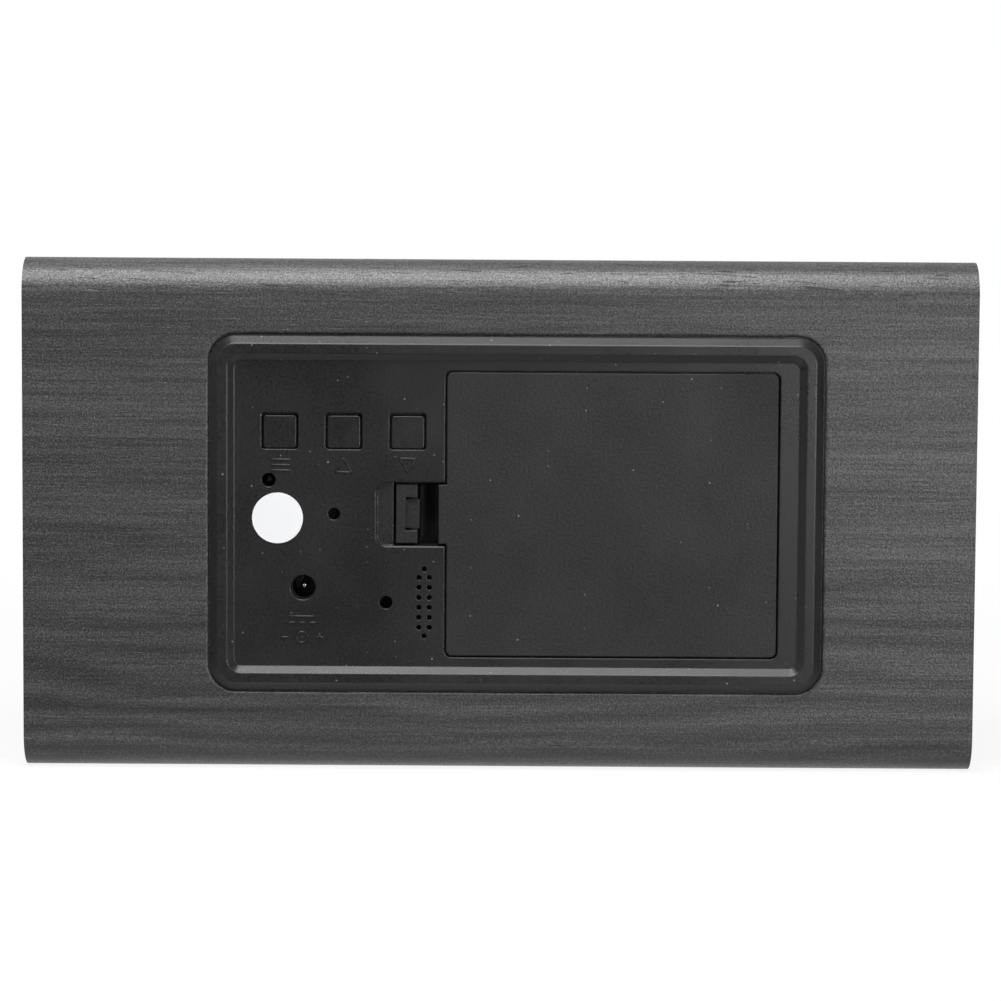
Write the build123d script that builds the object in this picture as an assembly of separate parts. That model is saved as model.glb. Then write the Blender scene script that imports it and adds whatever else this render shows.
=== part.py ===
from build123d import *
import math
import os

# A wood-grain LED desk clock, in millimetres. The lit face looks along -Y and the
# service panel along +Y. Seen from behind, +X is on the left. The origin is the
# middle of the base, and Z is up.

# Case: a fibreboard sleeve with square ends and rounded long edges
CASE_WIDTH = 150.0
CASE_HEIGHT = 80.7
CASE_DEPTH = 40.0
EDGE_RADIUS = 5.5
FRONT_WALL = 5.0
REAR_WALL = 6.0
CAVITY_LEDGE = 4.0
END_PANEL = 9.0
FRONT_VENEER = 0.5
END_VENEER = 0.4

# Four AAA cells, their contacts and their bay
CELL_COUNT = 4
CELL_DIAMETER = 10.4
CELL_LENGTH = 44.5
CELL_EDGE = 0.5
CELL_GAP = 0.2
CELL_SEAT = 0.1
CELL_HEADROOM = 0.4
NUB_DIAMETER = 3.8
NUB_LENGTH = 0.8
CONTACT_THICKNESS = 0.4
CONTACT_WIDTH = 8.6
CONTACT_HEIGHT = 8.0
CONTACT_LIFT = 0.8
TAIL_WIDTH = 2.5
TAIL_LENGTH = 1.0
TAIL_GAP = 0.25
SPRING_SPACE = 4.6
SPRING_WIRE = 0.7
SPRING_TURNS = 3.5
SPRING_WIDE_RADIUS = 3.4
SPRING_NARROW_RADIUS = 2.1
SPRING_GAP = 0.06
TRAY_FLOOR = 1.2
TRAY_TIE = 0.8

# Battery door: two tabs on its hinge side, a folded latch on the other
DOOR_LEDGE = 1.34
DOOR_GAP = 0.3
DOOR_SEAT = 0.1
DOOR_THICKNESS = 1.8
DOOR_CORNER = 1.2
DOOR_EDGE = 0.15
DOOR_SIDE_MARGIN = 3.0
DOOR_END_MARGIN = 1.5
TAB_WIDTH = 5.0
TAB_THICKNESS = 1.0
TAB_REACH = 1.0
TAB_ROOT = 0.7
TAB_CLEARANCE = 0.2
LATCH_TAB_REACH = 1.0
LATCH_TAB_WIDTH = 9.3
LATCH_LEG = 1.0
LATCH_LEG_GAP = 0.25
LATCH_SPACE = 3.3
LATCH_PIVOT_DEPTH = 7.0
LATCH_KNUCKLE_RADIUS = 0.7
LATCH_KNUCKLE_GAP = 0.1
LATCH_STRIP_RISE = 0.2
LATCH_FOLD_DEPTH = 0.6
LATCH_PAD_LENGTH = 3.4
LATCH_PAD_WIDTH = 9.3
LATCH_PAD_THICKNESS = 1.2
LATCH_PAD_SINK = 0.5
LATCH_WINDOW_LENGTH = 1.9
LATCH_WINDOW_WIDTH = 5.2
LATCH_BLOCK_STEP = 0.3
LATCH_BLOCK_HEIGHT = 1.6
LATCH_NOSE_WIDTH = 1.6
LATCH_NOSE_GAP = 0.25

# Rear panel: a raised bezel round a sunk field, on a skirt that snaps into the case
BEZEL_X = -2.65
PANEL_RISE = 0.35
BEZEL_PROUD = 1.2
BEZEL_SLOPE = 1.25
BEZEL_CORNER = 4.1
RIM_WIDTH = 1.5
RIM_EDGE = 0.25
FIELD_SLOPE = 1.05
FIELD_DROP = 1.0
FIELD_CORNER = 1.2
PANEL_THICKNESS = 2.0
FLANGE_OVERLAP = 2.4
REBATE_DEPTH = 0.6
REBATE_GAP = 0.2
REBATE_LIP = 0.5
SKIRT_WALL = 1.6
PANEL_CLEARANCE = 0.25
HOOK_WIDTH = 8.0
HOOK_HEIGHT = 1.6
HOOK_CATCH = 0.6
HOOK_GAP = 0.1
HOOK_SPACING = 56.0
POCKET_LENGTH = 10.7
POCKET_WIDTH = 10.0
POCKET_CORNER = 1.6
POCKET_WALL = 1.2
POCKET_FLOOR_GAP = 0.6
LIP_GAP = 0.35
SCOOP_SHALLOW = 0.8
SCOOP_DEEP = 0.95
POCKET_BEVEL = 0.2

# Push buttons and their tactile switches
BUTTON_NAMES = ("set", "up", "down")
BUTTON_SIZE = 5.2
BUTTON_GAP = 0.3
BUTTON_PITCH = 10.05
BUTTON_SIDE = 7.2
BUTTON_DOOR_SIDE = 5.85
BUTTON_DROP = 11.1
BUTTON_CORNER = 0.5
BUTTON_EDGE = 0.2
BUTTON_SINK = 0.2
BUTTON_SAG = 0.18
BUTTON_FLANGE = 1.0
BUTTON_FLANGE_LIP = 0.8
BUTTON_FLANGE_GAP = 0.1
BUTTON_STEM_DIAMETER = 3.0
BUTTON_TRAVEL = 0.4
SWITCH_SIZE = 6.0
SWITCH_HEIGHT = 3.5
PLUNGER_DIAMETER = 3.4
PLUNGER_PROUD = 1.0
PLUNGER_DEPTH = 1.2
PLUNGER_GAP = 0.2
RESET_SIDE = 5.45
RESET_DROP = 18.85
RESET_HOLE = 2.2
RESET_WIDTH = 6.0
RESET_HEIGHT = 3.6
RESET_PLUNGER = 1.7
RESET_TIP = 0.6
RESET_SINK = 0.5
RESET_TRAVEL = 0.3

# Sound ports, sensor grille, power socket and blank sticker, measured from the field's edges
MIC_SIDE = 15.75
MIC_DROP = 24.15
MIC_PORT = 1.9
MIC_DIAMETER = 6.0
MIC_HEIGHT = 2.7
MIC_COLLAR_WALL = 0.8
MIC_COLLAR_HEIGHT = 2.0
MIC_GAP = 0.1
BUZZER_DOOR_SIDE = 9.2
BUZZER_RISE = 10.2
BUZZER_PORT = 2.05
BUZZER_DIAMETER = 9.0
BUZZER_HEIGHT = 7.0
BUZZER_MOUTH = 2.4
BUZZER_MOUTH_DEPTH = 0.8
GRILLE_DOOR_SIDE = 3.2
GRILLE_RISE = 10.2
GRILLE_HOLE = 0.8
GRILLE_COLUMN_PITCH = 1.64
GRILLE_ROW_PITCH = 1.58
GRILLE_ROWS = 6
GRILLE_END_PITCH = 1.35
BEAD_DIAMETER = 1.8
BEAD_GAP = 0.6
LEAD_PIN_DIAMETER = 0.4
LEAD_PIN_PITCH = 1.0
JACK_SIDE = 10.9
JACK_RISE = 12.5
JACK_HOLE = 3.9
JACK_HOLE_BEVEL = 0.12
JACK_SIZE = 7.0
JACK_BORE = 3.6
JACK_FLOOR = 1.5
JACK_GAP = 0.1
JACK_PIN_DIAMETER = 1.3
JACK_PIN_SINK = 1.2
JACK_PIN_TIP = 0.6
JACK_PIN_GAP = 0.05
STICKER_SIDE = 6.85
STICKER_DROP = 24.85
STICKER_DIAMETER = 8.0
STICKER_THICKNESS = 0.1

# Control board, screwed to bosses of the rear panel
BOARD_THICKNESS = 1.6
BOARD_GAP = 0.6
BOARD_CLEARANCE = 2.0
BOSS_DIAMETER = 4.4
BOSS_INSET = 2.8
BOSS_SPACE = 0.8
PILOT_DIAMETER = 2.0
PILOT_DEPTH = 6.0
SCREW_DIAMETER = 1.8
SCREW_HEAD_DIAMETER = 3.8
SCREW_HEAD_HEIGHT = 1.4
SCREW_HOLE = 2.2
BOARD_SCREW_GRIP = 5.0
SCREW_SLOT_WIDTH = 0.5
SCREW_SLOT_DEPTH = 0.5

# Display: a segment frame in the front window, with one LED to a segment
DIGIT_HEIGHT = 30.0
DIGIT_GAP = 6.0
COLON_SPACE = 11.0
COLON_SPREAD = 10.0
COLON_DIAMETER = 4.0
SEGMENT_STROKE = 3.2
SEGMENT_GAP = 0.5
WINDOW_MARGIN = 5.0
WINDOW_CORNER = 2.0
GUIDE_CLEARANCE = 0.2
DIFFUSER_THICKNESS = 0.3
DISPLAY_END_GAP = 9.1
DISPLAY_BORDER = 6.0
DISPLAY_SCREW_INSET = 3.0
DISPLAY_SCREW_GRIP = 3.6
LED_LENGTH = 2.0
LED_WIDTH = 1.25
LED_HEIGHT = 0.8
CHIP_X = -14.0
CHIP_LENGTH = 18.0
CHIP_WIDTH = 7.5
CHIP_HEIGHT = 2.3
CRYSTAL_SPACE = 4.0
CRYSTAL_DIAMETER = 2.0
CRYSTAL_LENGTH = 6.0
CRYSTAL_GAP = 0.05

# Wiring between the two boards and from the cells
RIBBON_X = 26.0
RIBBON_RISE = 4.0
RIBBON_WIDTH = 9.0
RIBBON_THICKNESS = 0.9
RIBBON_LEG = 6.0
CONNECTOR_WIDTH = 11.0
CONNECTOR_HEIGHT = 5.0
CONNECTOR_DEPTH = 4.5
WIRE_DIAMETER = 1.0
WIRE_BEND = 1.6
WIRE_DROP = 2.6
WIRE_LANDING = 3.2

# Places along the depth, from the front face to the bezel's rim
FRONT_Y = -(CASE_DEPTH + BEZEL_PROUD) / 2
REAR_Y = FRONT_Y + CASE_DEPTH
RIM_Y = REAR_Y + BEZEL_PROUD
FIELD_Y = RIM_Y - FIELD_DROP
PANEL_INNER_Y = FIELD_Y - PANEL_THICKNESS
DOOR_INNER_Y = FIELD_Y - DOOR_THICKNESS
DOOR_SEAT_Y = DOOR_INNER_Y - DOOR_SEAT
CELL_Y = DOOR_INNER_Y - CELL_HEADROOM - CELL_DIAMETER / 2
BAY_FLOOR_Y = CELL_Y - CELL_DIAMETER / 2 - CELL_SEAT
TRAY_BOTTOM_Y = BAY_FLOOR_Y - TRAY_FLOOR
VENEER_INNER_Y = FRONT_Y + FRONT_VENEER
CAVITY_FRONT_Y = VENEER_INNER_Y + FRONT_WALL
CAVITY_REAR_Y = REAR_Y - REAR_WALL
SKIRT_FOOT_Y = CAVITY_REAR_Y - HOOK_GAP - HOOK_HEIGHT
LATCH_PIVOT_Y = FIELD_Y - LATCH_PIVOT_DEPTH
LATCH_FOOT_Y = LATCH_PIVOT_Y - LATCH_KNUCKLE_RADIUS
WELL_FLOOR_Y = LATCH_FOOT_Y - POCKET_FLOOR_GAP
BOARD_REAR_Y = WELL_FLOOR_Y - POCKET_WALL - BOARD_CLEARANCE
BOARD_FRONT_Y = BOARD_REAR_Y - BOARD_THICKNESS
DISPLAY_REAR_Y = CAVITY_FRONT_Y + BOARD_THICKNESS

# Places along the height
MID_Z = CASE_HEIGHT / 2
PANEL_Z = MID_Z + PANEL_RISE
CELL_PITCH = CELL_DIAMETER + CELL_GAP
BAY_HEIGHT = CELL_COUNT * CELL_PITCH + CELL_GAP
DOOR_OPENING_HEIGHT = BAY_HEIGHT + 2 * DOOR_LEDGE
FIELD_HEIGHT = DOOR_OPENING_HEIGHT + 2 * DOOR_END_MARGIN
BEZEL_BORDER = BEZEL_SLOPE + RIM_WIDTH + FIELD_SLOPE
BEZEL_HEIGHT = FIELD_HEIGHT + 2 * BEZEL_BORDER
SKIRT_HEIGHT = BEZEL_HEIGHT - 2 * FLANGE_OVERLAP
APERTURE_HEIGHT = SKIRT_HEIGHT + 2 * PANEL_CLEARANCE
CAVITY_HEIGHT = APERTURE_HEIGHT + 2 * CAVITY_LEDGE
FIELD_TOP_Z = PANEL_Z + FIELD_HEIGHT / 2
FIELD_LOW_Z = PANEL_Z - FIELD_HEIGHT / 2
TRAY_WALL = DOOR_LEDGE + TRAY_TIE
BOARD_HEIGHT = SKIRT_HEIGHT - 2 * SKIRT_WALL - 2 * BOARD_GAP
CELL_ZS = [PANEL_Z + (i - (CELL_COUNT - 1) / 2) * CELL_PITCH for i in range(CELL_COUNT)]

# Places along the width
BAY_LENGTH = CELL_LENGTH + SPRING_SPACE + 2 * CONTACT_THICKNESS
DOOR_OPENING_WIDTH = BAY_LENGTH + 2 * DOOR_LEDGE
CONTROL_WIDTH = BUTTON_SIDE + (len(BUTTON_NAMES) - 1) * BUTTON_PITCH + BUTTON_DOOR_SIDE
FIELD_WIDTH = DOOR_SIDE_MARGIN + DOOR_OPENING_WIDTH + CONTROL_WIDTH
BEZEL_WIDTH = FIELD_WIDTH + 2 * BEZEL_BORDER
SKIRT_WIDTH = BEZEL_WIDTH - 2 * FLANGE_OVERLAP
APERTURE_WIDTH = SKIRT_WIDTH + 2 * PANEL_CLEARANCE
FIELD_LOW_X = BEZEL_X - FIELD_WIDTH / 2
FIELD_HIGH_X = BEZEL_X + FIELD_WIDTH / 2
DOOR_LOW_X = FIELD_LOW_X + DOOR_SIDE_MARGIN
DOOR_HIGH_X = DOOR_LOW_X + DOOR_OPENING_WIDTH
DOOR_X = (DOOR_LOW_X + DOOR_HIGH_X) / 2
BAY_LOW_X = DOOR_LOW_X + DOOR_LEDGE
BAY_HIGH_X = DOOR_HIGH_X - DOOR_LEDGE
HINGE_X = DOOR_LOW_X + DOOR_GAP
LATCH_LEG_X = DOOR_HIGH_X + LATCH_TAB_REACH
LATCH_ARM_X = LATCH_LEG_X + LATCH_SPACE
LATCH_PIVOT_X = LATCH_ARM_X + LATCH_LEG / 2
LATCH_PAD_X = LATCH_ARM_X + LATCH_PAD_LENGTH
LIP_X = LATCH_PAD_X + LIP_GAP
POCKET_HIGH_X = DOOR_HIGH_X + POCKET_LENGTH
BOARD_LOW_X = BAY_HIGH_X + TRAY_WALL + BOARD_GAP
BOARD_HIGH_X = BEZEL_X + SKIRT_WIDTH / 2 - SKIRT_WALL - BOARD_GAP
SLEEVE_LENGTH = CASE_WIDTH - 2 * END_VENEER

# Places of the controls on the field, as (X, Z)
BUTTON_SPOTS = {
    name: (FIELD_HIGH_X - BUTTON_SIDE - i * BUTTON_PITCH, FIELD_TOP_Z - BUTTON_DROP)
    for i, name in enumerate(BUTTON_NAMES)
}
RESET_SPOT = (FIELD_HIGH_X - RESET_SIDE, FIELD_TOP_Z - RESET_DROP)
MIC_SPOT = (FIELD_HIGH_X - MIC_SIDE, FIELD_TOP_Z - MIC_DROP)
STICKER_SPOT = (FIELD_HIGH_X - STICKER_SIDE, FIELD_TOP_Z - STICKER_DROP)
JACK_SPOT = (FIELD_HIGH_X - JACK_SIDE, FIELD_LOW_Z + JACK_RISE)
BUZZER_SPOT = (DOOR_HIGH_X + BUZZER_DOOR_SIDE, FIELD_LOW_Z + BUZZER_RISE)
GRILLE_SPOT = (DOOR_HIGH_X + GRILLE_DOOR_SIDE, FIELD_LOW_Z + GRILLE_RISE)
BOARD_LOW_Z = PANEL_Z - BOARD_HEIGHT / 2
BOARD_TOP_Z = PANEL_Z + BOARD_HEIGHT / 2
BOSS_SPOTS = [
    (BOARD_HIGH_X - BOSS_INSET, BOARD_TOP_Z - BOSS_INSET),
    (BOARD_LOW_X + BOSS_INSET, BOARD_TOP_Z - BOSS_INSET),
    (BOARD_HIGH_X - BOSS_INSET, BOARD_LOW_Z + BOSS_INSET),
    (BUZZER_SPOT[0] + (BUZZER_DIAMETER + BOSS_DIAMETER) / 2 + BOSS_SPACE, BOARD_LOW_Z + BOSS_INSET),
]
TAB_ZS = [PANEL_Z - CELL_PITCH, PANEL_Z + CELL_PITCH]

# Places of the display
DISPLAY_WIDTH = SLEEVE_LENGTH - 2 * END_PANEL - 2 * DISPLAY_END_GAP
WINDOW_WIDTH = DISPLAY_WIDTH - 2 * DISPLAY_BORDER
WINDOW_HEIGHT = DIGIT_HEIGHT + 2 * WINDOW_MARGIN
DIGIT_WIDTH = (WINDOW_WIDTH - 2 * WINDOW_MARGIN - COLON_SPACE - 2 * DIGIT_GAP) / 4
DIGIT_XS = [
    side * (COLON_SPACE / 2 + DIGIT_WIDTH / 2 + step * (DIGIT_WIDTH + DIGIT_GAP))
    for side in (-1, 1)
    for step in (0, 1)
]
DISPLAY_HEIGHT = WINDOW_HEIGHT + 2 * DISPLAY_BORDER
DISPLAY_SCREW_SPOTS = [
    (x * (DISPLAY_WIDTH / 2 - DISPLAY_SCREW_INSET), MID_Z + z * (DISPLAY_HEIGHT / 2 - DISPLAY_SCREW_INSET))
    for x in (-1, 1)
    for z in (-1, 1)
]

REAR_VIEW = Plane(origin=(0, 0, 0), x_dir=(-1, 0, 0), z_dir=(0, 1, 0))


def span(xs, ys, zs):
    """A box between two X, two Y and two Z values."""
    size = [abs(b - a) for a, b in (xs, ys, zs)]
    middle = [(a + b) / 2 for a, b in (xs, ys, zs)]
    return Pos(*middle) * Box(*size)


def around(middle, width):
    """The two values that lie half a width either side of a middle."""
    return (middle - width / 2, middle + width / 2)


def raised(sketch, x, z, low_y, high_y, taper=0):
    """A flat sketch at (x, z), raised towards the rear from low_y to high_y."""
    return Pos(x, low_y, z) * extrude(REAR_VIEW * sketch, high_y - low_y, taper=taper)


def rod(spot, diameter, low_y, high_y):
    """A round bar along the depth."""
    return raised(Circle(diameter / 2), spot[0], spot[1], low_y, high_y)


def screw(spot, head_y, grip):
    """A slotted pan-head screw whose shank points to the rear if grip is positive."""
    head_end_y = head_y - math.copysign(SCREW_HEAD_HEIGHT, grip)
    slot_y = head_end_y + math.copysign(SCREW_SLOT_DEPTH, grip)
    shank = rod(spot, SCREW_DIAMETER, min(head_y, head_y + grip), max(head_y, head_y + grip))
    head = rod(spot, SCREW_HEAD_DIAMETER, min(head_y, head_end_y), max(head_y, head_end_y))
    slot_length = around(spot[0], SCREW_HEAD_DIAMETER)
    slot = span(slot_length, (head_end_y, slot_y), around(spot[1], SCREW_SLOT_WIDTH))
    return shank + head - slot


def case_profile(length, inset=0.0):
    """The case's rounded outline, run along X."""
    outline = RectangleRounded(CASE_DEPTH - 2 * inset, CASE_HEIGHT - 2 * inset, EDGE_RADIUS - inset)
    middle = Pos(0, (FRONT_Y + REAR_Y) / 2, MID_Z)
    return middle * extrude(Plane.YZ * outline, length / 2, both=True)


def rebate():
    """The shallow recess round the bezel, which widens at the rounded lip of its rim."""
    width = BEZEL_WIDTH + 2 * REBATE_GAP
    height = BEZEL_HEIGHT + 2 * REBATE_GAP
    opening = RectangleRounded(width, height, BEZEL_CORNER + REBATE_GAP)
    border = Rectangle(width + 4 * REBATE_LIP, height + 4 * REBATE_LIP)
    block = raised(border, BEZEL_X, PANEL_Z, REAR_Y - REBATE_DEPTH, REAR_Y)
    lipped = block - raised(opening, BEZEL_X, PANEL_Z, REAR_Y - REBATE_DEPTH, REAR_Y)
    rim = lipped.faces().sort_by(Axis.Y)[-1].inner_wires()[0]
    return block - fillet(rim.edges(), REBATE_LIP)


def wood_case():
    """The sleeve, with the display window in front and the panel's aperture behind."""
    cavity_ys = (CAVITY_FRONT_Y, CAVITY_REAR_Y)
    case = case_profile(SLEEVE_LENGTH)
    case -= span(around(0, SLEEVE_LENGTH), cavity_ys, around(MID_Z, CAVITY_HEIGHT))
    case -= front_veneer()
    window = RectangleRounded(WINDOW_WIDTH, WINDOW_HEIGHT, WINDOW_CORNER)
    case -= raised(window, 0, MID_Z, VENEER_INNER_Y, CAVITY_FRONT_Y)
    aperture_corner = BEZEL_CORNER - FLANGE_OVERLAP + PANEL_CLEARANCE
    aperture = RectangleRounded(APERTURE_WIDTH, APERTURE_HEIGHT, aperture_corner)
    case -= rebate()
    case -= raised(aperture, BEZEL_X, PANEL_Z, CAVITY_REAR_Y, REAR_Y)
    for spot in DISPLAY_SCREW_SPOTS:
        case -= rod(spot, PILOT_DIAMETER, CAVITY_FRONT_Y - DISPLAY_SCREW_GRIP, CAVITY_FRONT_Y)
    return case


def front_veneer():
    """The thin sheet over the flat of the front, which the segments shine through."""
    flat_height = CASE_HEIGHT - 2 * EDGE_RADIUS
    return span(around(0, SLEEVE_LENGTH), (FRONT_Y, VENEER_INNER_Y), around(MID_Z, flat_height))


def end_veneer(side):
    """The sheet that covers one end of the sleeve."""
    return Pos(side * (CASE_WIDTH - END_VENEER) / 2, 0, 0) * case_profile(END_VENEER)


def end_panel(side):
    """The plug glued into one end of the sleeve."""
    outer_x = side * SLEEVE_LENGTH / 2
    inner_x = outer_x - side * END_PANEL
    return span((inner_x, outer_x), (CAVITY_FRONT_Y, CAVITY_REAR_Y), around(MID_Z, CAVITY_HEIGHT))


def bezel_shell():
    """The raised bezel, its sunk field and the skirt behind it."""
    rise = degrees_of(BEZEL_SLOPE, BEZEL_PROUD)
    fall = degrees_of(FIELD_SLOPE, FIELD_DROP)
    outline = RectangleRounded(BEZEL_WIDTH, BEZEL_HEIGHT, BEZEL_CORNER)
    shell = raised(outline, BEZEL_X, PANEL_Z, REAR_Y, RIM_Y, taper=rise)
    field = RectangleRounded(FIELD_WIDTH, FIELD_HEIGHT, FIELD_CORNER)
    shell -= raised(field, BEZEL_X, PANEL_Z, FIELD_Y, RIM_Y, taper=-fall)
    shell = fillet(shell.edges().group_by(Axis.Y)[-1], RIM_EDGE)
    skirt_corner = BEZEL_CORNER - FLANGE_OVERLAP
    skirt = RectangleRounded(SKIRT_WIDTH, SKIRT_HEIGHT, skirt_corner)
    shell += raised(outline, BEZEL_X, PANEL_Z, REAR_Y - REBATE_DEPTH, REAR_Y)
    shell += raised(skirt, BEZEL_X, PANEL_Z, SKIRT_FOOT_Y, REAR_Y)
    hollow = Rectangle(SKIRT_WIDTH - 2 * SKIRT_WALL, SKIRT_HEIGHT - 2 * SKIRT_WALL)
    shell -= raised(hollow, BEZEL_X, PANEL_Z, SKIRT_FOOT_Y, PANEL_INNER_Y)
    return shell


def degrees_of(run, rise):
    """The taper that gives a slope its run over its rise."""
    return math.degrees(math.atan(run / rise))


def snap_hooks():
    """Wedges on the skirt that catch behind the case's rear wall."""
    reach = PANEL_CLEARANCE + HOOK_CATCH
    hooks = []
    for side in (-1, 1):
        face_z = PANEL_Z + side * SKIRT_HEIGHT / 2
        wedge = Polygon(
            (CAVITY_REAR_Y - HOOK_GAP, face_z - side * SKIRT_WALL / 2),
            (CAVITY_REAR_Y - HOOK_GAP, face_z + side * reach),
            (SKIRT_FOOT_Y, face_z),
            (SKIRT_FOOT_Y, face_z - side * SKIRT_WALL / 2),
        )
        for offset in around(BEZEL_X, HOOK_SPACING):
            hooks.append(Pos(offset, 0, 0) * extrude(Plane.YZ * wedge, HOOK_WIDTH / 2, both=True))
    return hooks


def battery_tray():
    """The outside of the tray, its tail slots and the space inside it."""
    tray_xs = (BAY_LOW_X - TRAY_WALL, BAY_HIGH_X + TRAY_WALL)
    tray_height = BAY_HEIGHT + 2 * TRAY_WALL
    tray = span(tray_xs, (TRAY_BOTTOM_Y, PANEL_INNER_Y), around(PANEL_Z, tray_height))
    bay = span((BAY_LOW_X, BAY_HIGH_X), (BAY_FLOOR_Y, FIELD_Y), around(PANEL_Z, BAY_HEIGHT))
    slot_xs = (BAY_HIGH_X - CONTACT_THICKNESS - TAIL_GAP, BAY_HIGH_X)
    for z in (CELL_ZS[0], CELL_ZS[-1]):
        bay += span(slot_xs, (TRAY_BOTTOM_Y, BAY_FLOOR_Y), around(z, TAIL_WIDTH + 2 * TAIL_GAP))
    return tray, bay


def door_opening():
    """The sunk seat of the door and the slots that its tabs swing in."""
    seat = RectangleRounded(DOOR_OPENING_WIDTH, DOOR_OPENING_HEIGHT, DOOR_CORNER)
    opening = raised(seat, DOOR_X, PANEL_Z, DOOR_SEAT_Y, FIELD_Y)
    tab_x = DOOR_LOW_X - TAB_REACH
    tab_depth = FIELD_Y - PANEL_INNER_Y + TAB_CLEARANCE + TAB_THICKNESS
    swing_radius = math.hypot(HINGE_X - tab_x, tab_depth)
    slot_low_y = FIELD_Y - swing_radius - TAB_CLEARANCE
    for z in TAB_ZS:
        slot_zs = around(z, TAB_WIDTH + 2 * TAB_CLEARANCE)
        opening += span((DOOR_LOW_X, BAY_LOW_X), (slot_low_y, FIELD_Y), slot_zs)
        opening += span((tab_x - TAB_CLEARANCE, DOOR_LOW_X), (slot_low_y, PANEL_INNER_Y), slot_zs)
    return opening


def latch_pocket():
    """The walls round the latch, and the well and finger scoop inside them."""
    wall_zs = around(PANEL_Z, POCKET_WIDTH + 2 * POCKET_WALL)
    well_zs = around(PANEL_Z, POCKET_WIDTH)
    well_wall_xs = (BAY_HIGH_X, LIP_X + POCKET_WALL)
    walls = span(well_wall_xs, (WELL_FLOOR_Y - POCKET_WALL, PANEL_INNER_Y), wall_zs)
    scoop_foot_y = FIELD_Y - SCOOP_DEEP - POCKET_WALL
    walls += span((LIP_X, POCKET_HIGH_X + POCKET_WALL), (scoop_foot_y, PANEL_INNER_Y), wall_zs)
    well = span((DOOR_HIGH_X, LIP_X), (WELL_FLOOR_Y, FIELD_Y), well_zs)
    scoop_profile = Polygon(
        (LIP_X, FIELD_Y),
        (LIP_X, FIELD_Y - SCOOP_DEEP),
        (POCKET_HIGH_X, FIELD_Y - SCOOP_SHALLOW),
        (POCKET_HIGH_X, FIELD_Y),
    )
    scoop = Pos(0, 0, PANEL_Z) * extrude(scoop_profile, POCKET_WIDTH / 2, both=True)
    outline = RectangleRounded(2 * POCKET_LENGTH, POCKET_WIDTH, POCKET_CORNER)
    scoop &= raised(outline, DOOR_HIGH_X, PANEL_Z, WELL_FLOOR_Y, FIELD_Y)
    bevel = raised(outline, DOOR_HIGH_X, PANEL_Z, FIELD_Y - POCKET_BEVEL, FIELD_Y, taper=-45)
    return walls, well + scoop + bevel


def grille_spots():
    """Two columns of small holes, with one more at each end."""
    middle_x, middle_z = GRILLE_SPOT
    half_height = (GRILLE_ROWS - 1) * GRILLE_ROW_PITCH / 2
    spots = []
    for row in range(GRILLE_ROWS):
        for x in around(middle_x, GRILLE_COLUMN_PITCH):
            spots.append((x, middle_z - half_height + row * GRILLE_ROW_PITCH))
    for z in around(middle_z, 2 * (half_height + GRILLE_END_PITCH)):
        spots.append((middle_x, z))
    return spots


def rear_panel():
    """The moulded service panel with its battery tray, latch pocket and screw bosses."""
    tray, bay = battery_tray()
    walls, pocket = latch_pocket()
    panel = bezel_shell() + tray + walls
    panel += snap_hooks()
    for spot in BOSS_SPOTS:
        panel += rod(spot, BOSS_DIAMETER, BOARD_REAR_Y, PANEL_INNER_Y)
    collar = MIC_DIAMETER + 2 * MIC_GAP + 2 * MIC_COLLAR_WALL
    panel += rod(MIC_SPOT, collar, PANEL_INNER_Y - MIC_COLLAR_HEIGHT, PANEL_INNER_Y)
    panel -= bay
    panel -= door_opening()
    panel -= pocket
    hole = RectangleRounded(BUTTON_SIZE + 2 * BUTTON_GAP, BUTTON_SIZE + 2 * BUTTON_GAP, BUTTON_CORNER)
    for x, z in BUTTON_SPOTS.values():
        panel -= raised(hole, x, z, PANEL_INNER_Y, FIELD_Y)
    for spot in BOSS_SPOTS:
        panel -= rod(spot, PILOT_DIAMETER, BOARD_REAR_Y, BOARD_REAR_Y + PILOT_DEPTH)
    mic_seat = MIC_DIAMETER + 2 * MIC_GAP
    panel -= rod(MIC_SPOT, mic_seat, PANEL_INNER_Y - MIC_COLLAR_HEIGHT, PANEL_INNER_Y)
    round_holes = [(RESET_SPOT, RESET_HOLE), (MIC_SPOT, MIC_PORT), (BUZZER_SPOT, BUZZER_PORT)]
    round_holes += [(JACK_SPOT, JACK_HOLE)]
    round_holes += [(spot, GRILLE_HOLE) for spot in grille_spots()]
    for spot, diameter in round_holes:
        panel -= rod(spot, diameter, PANEL_INNER_Y, FIELD_Y)
    bevel = Circle(JACK_HOLE / 2)
    panel -= raised(bevel, JACK_SPOT[0], JACK_SPOT[1], FIELD_Y - JACK_HOLE_BEVEL, FIELD_Y, taper=-45)
    return panel


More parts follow.
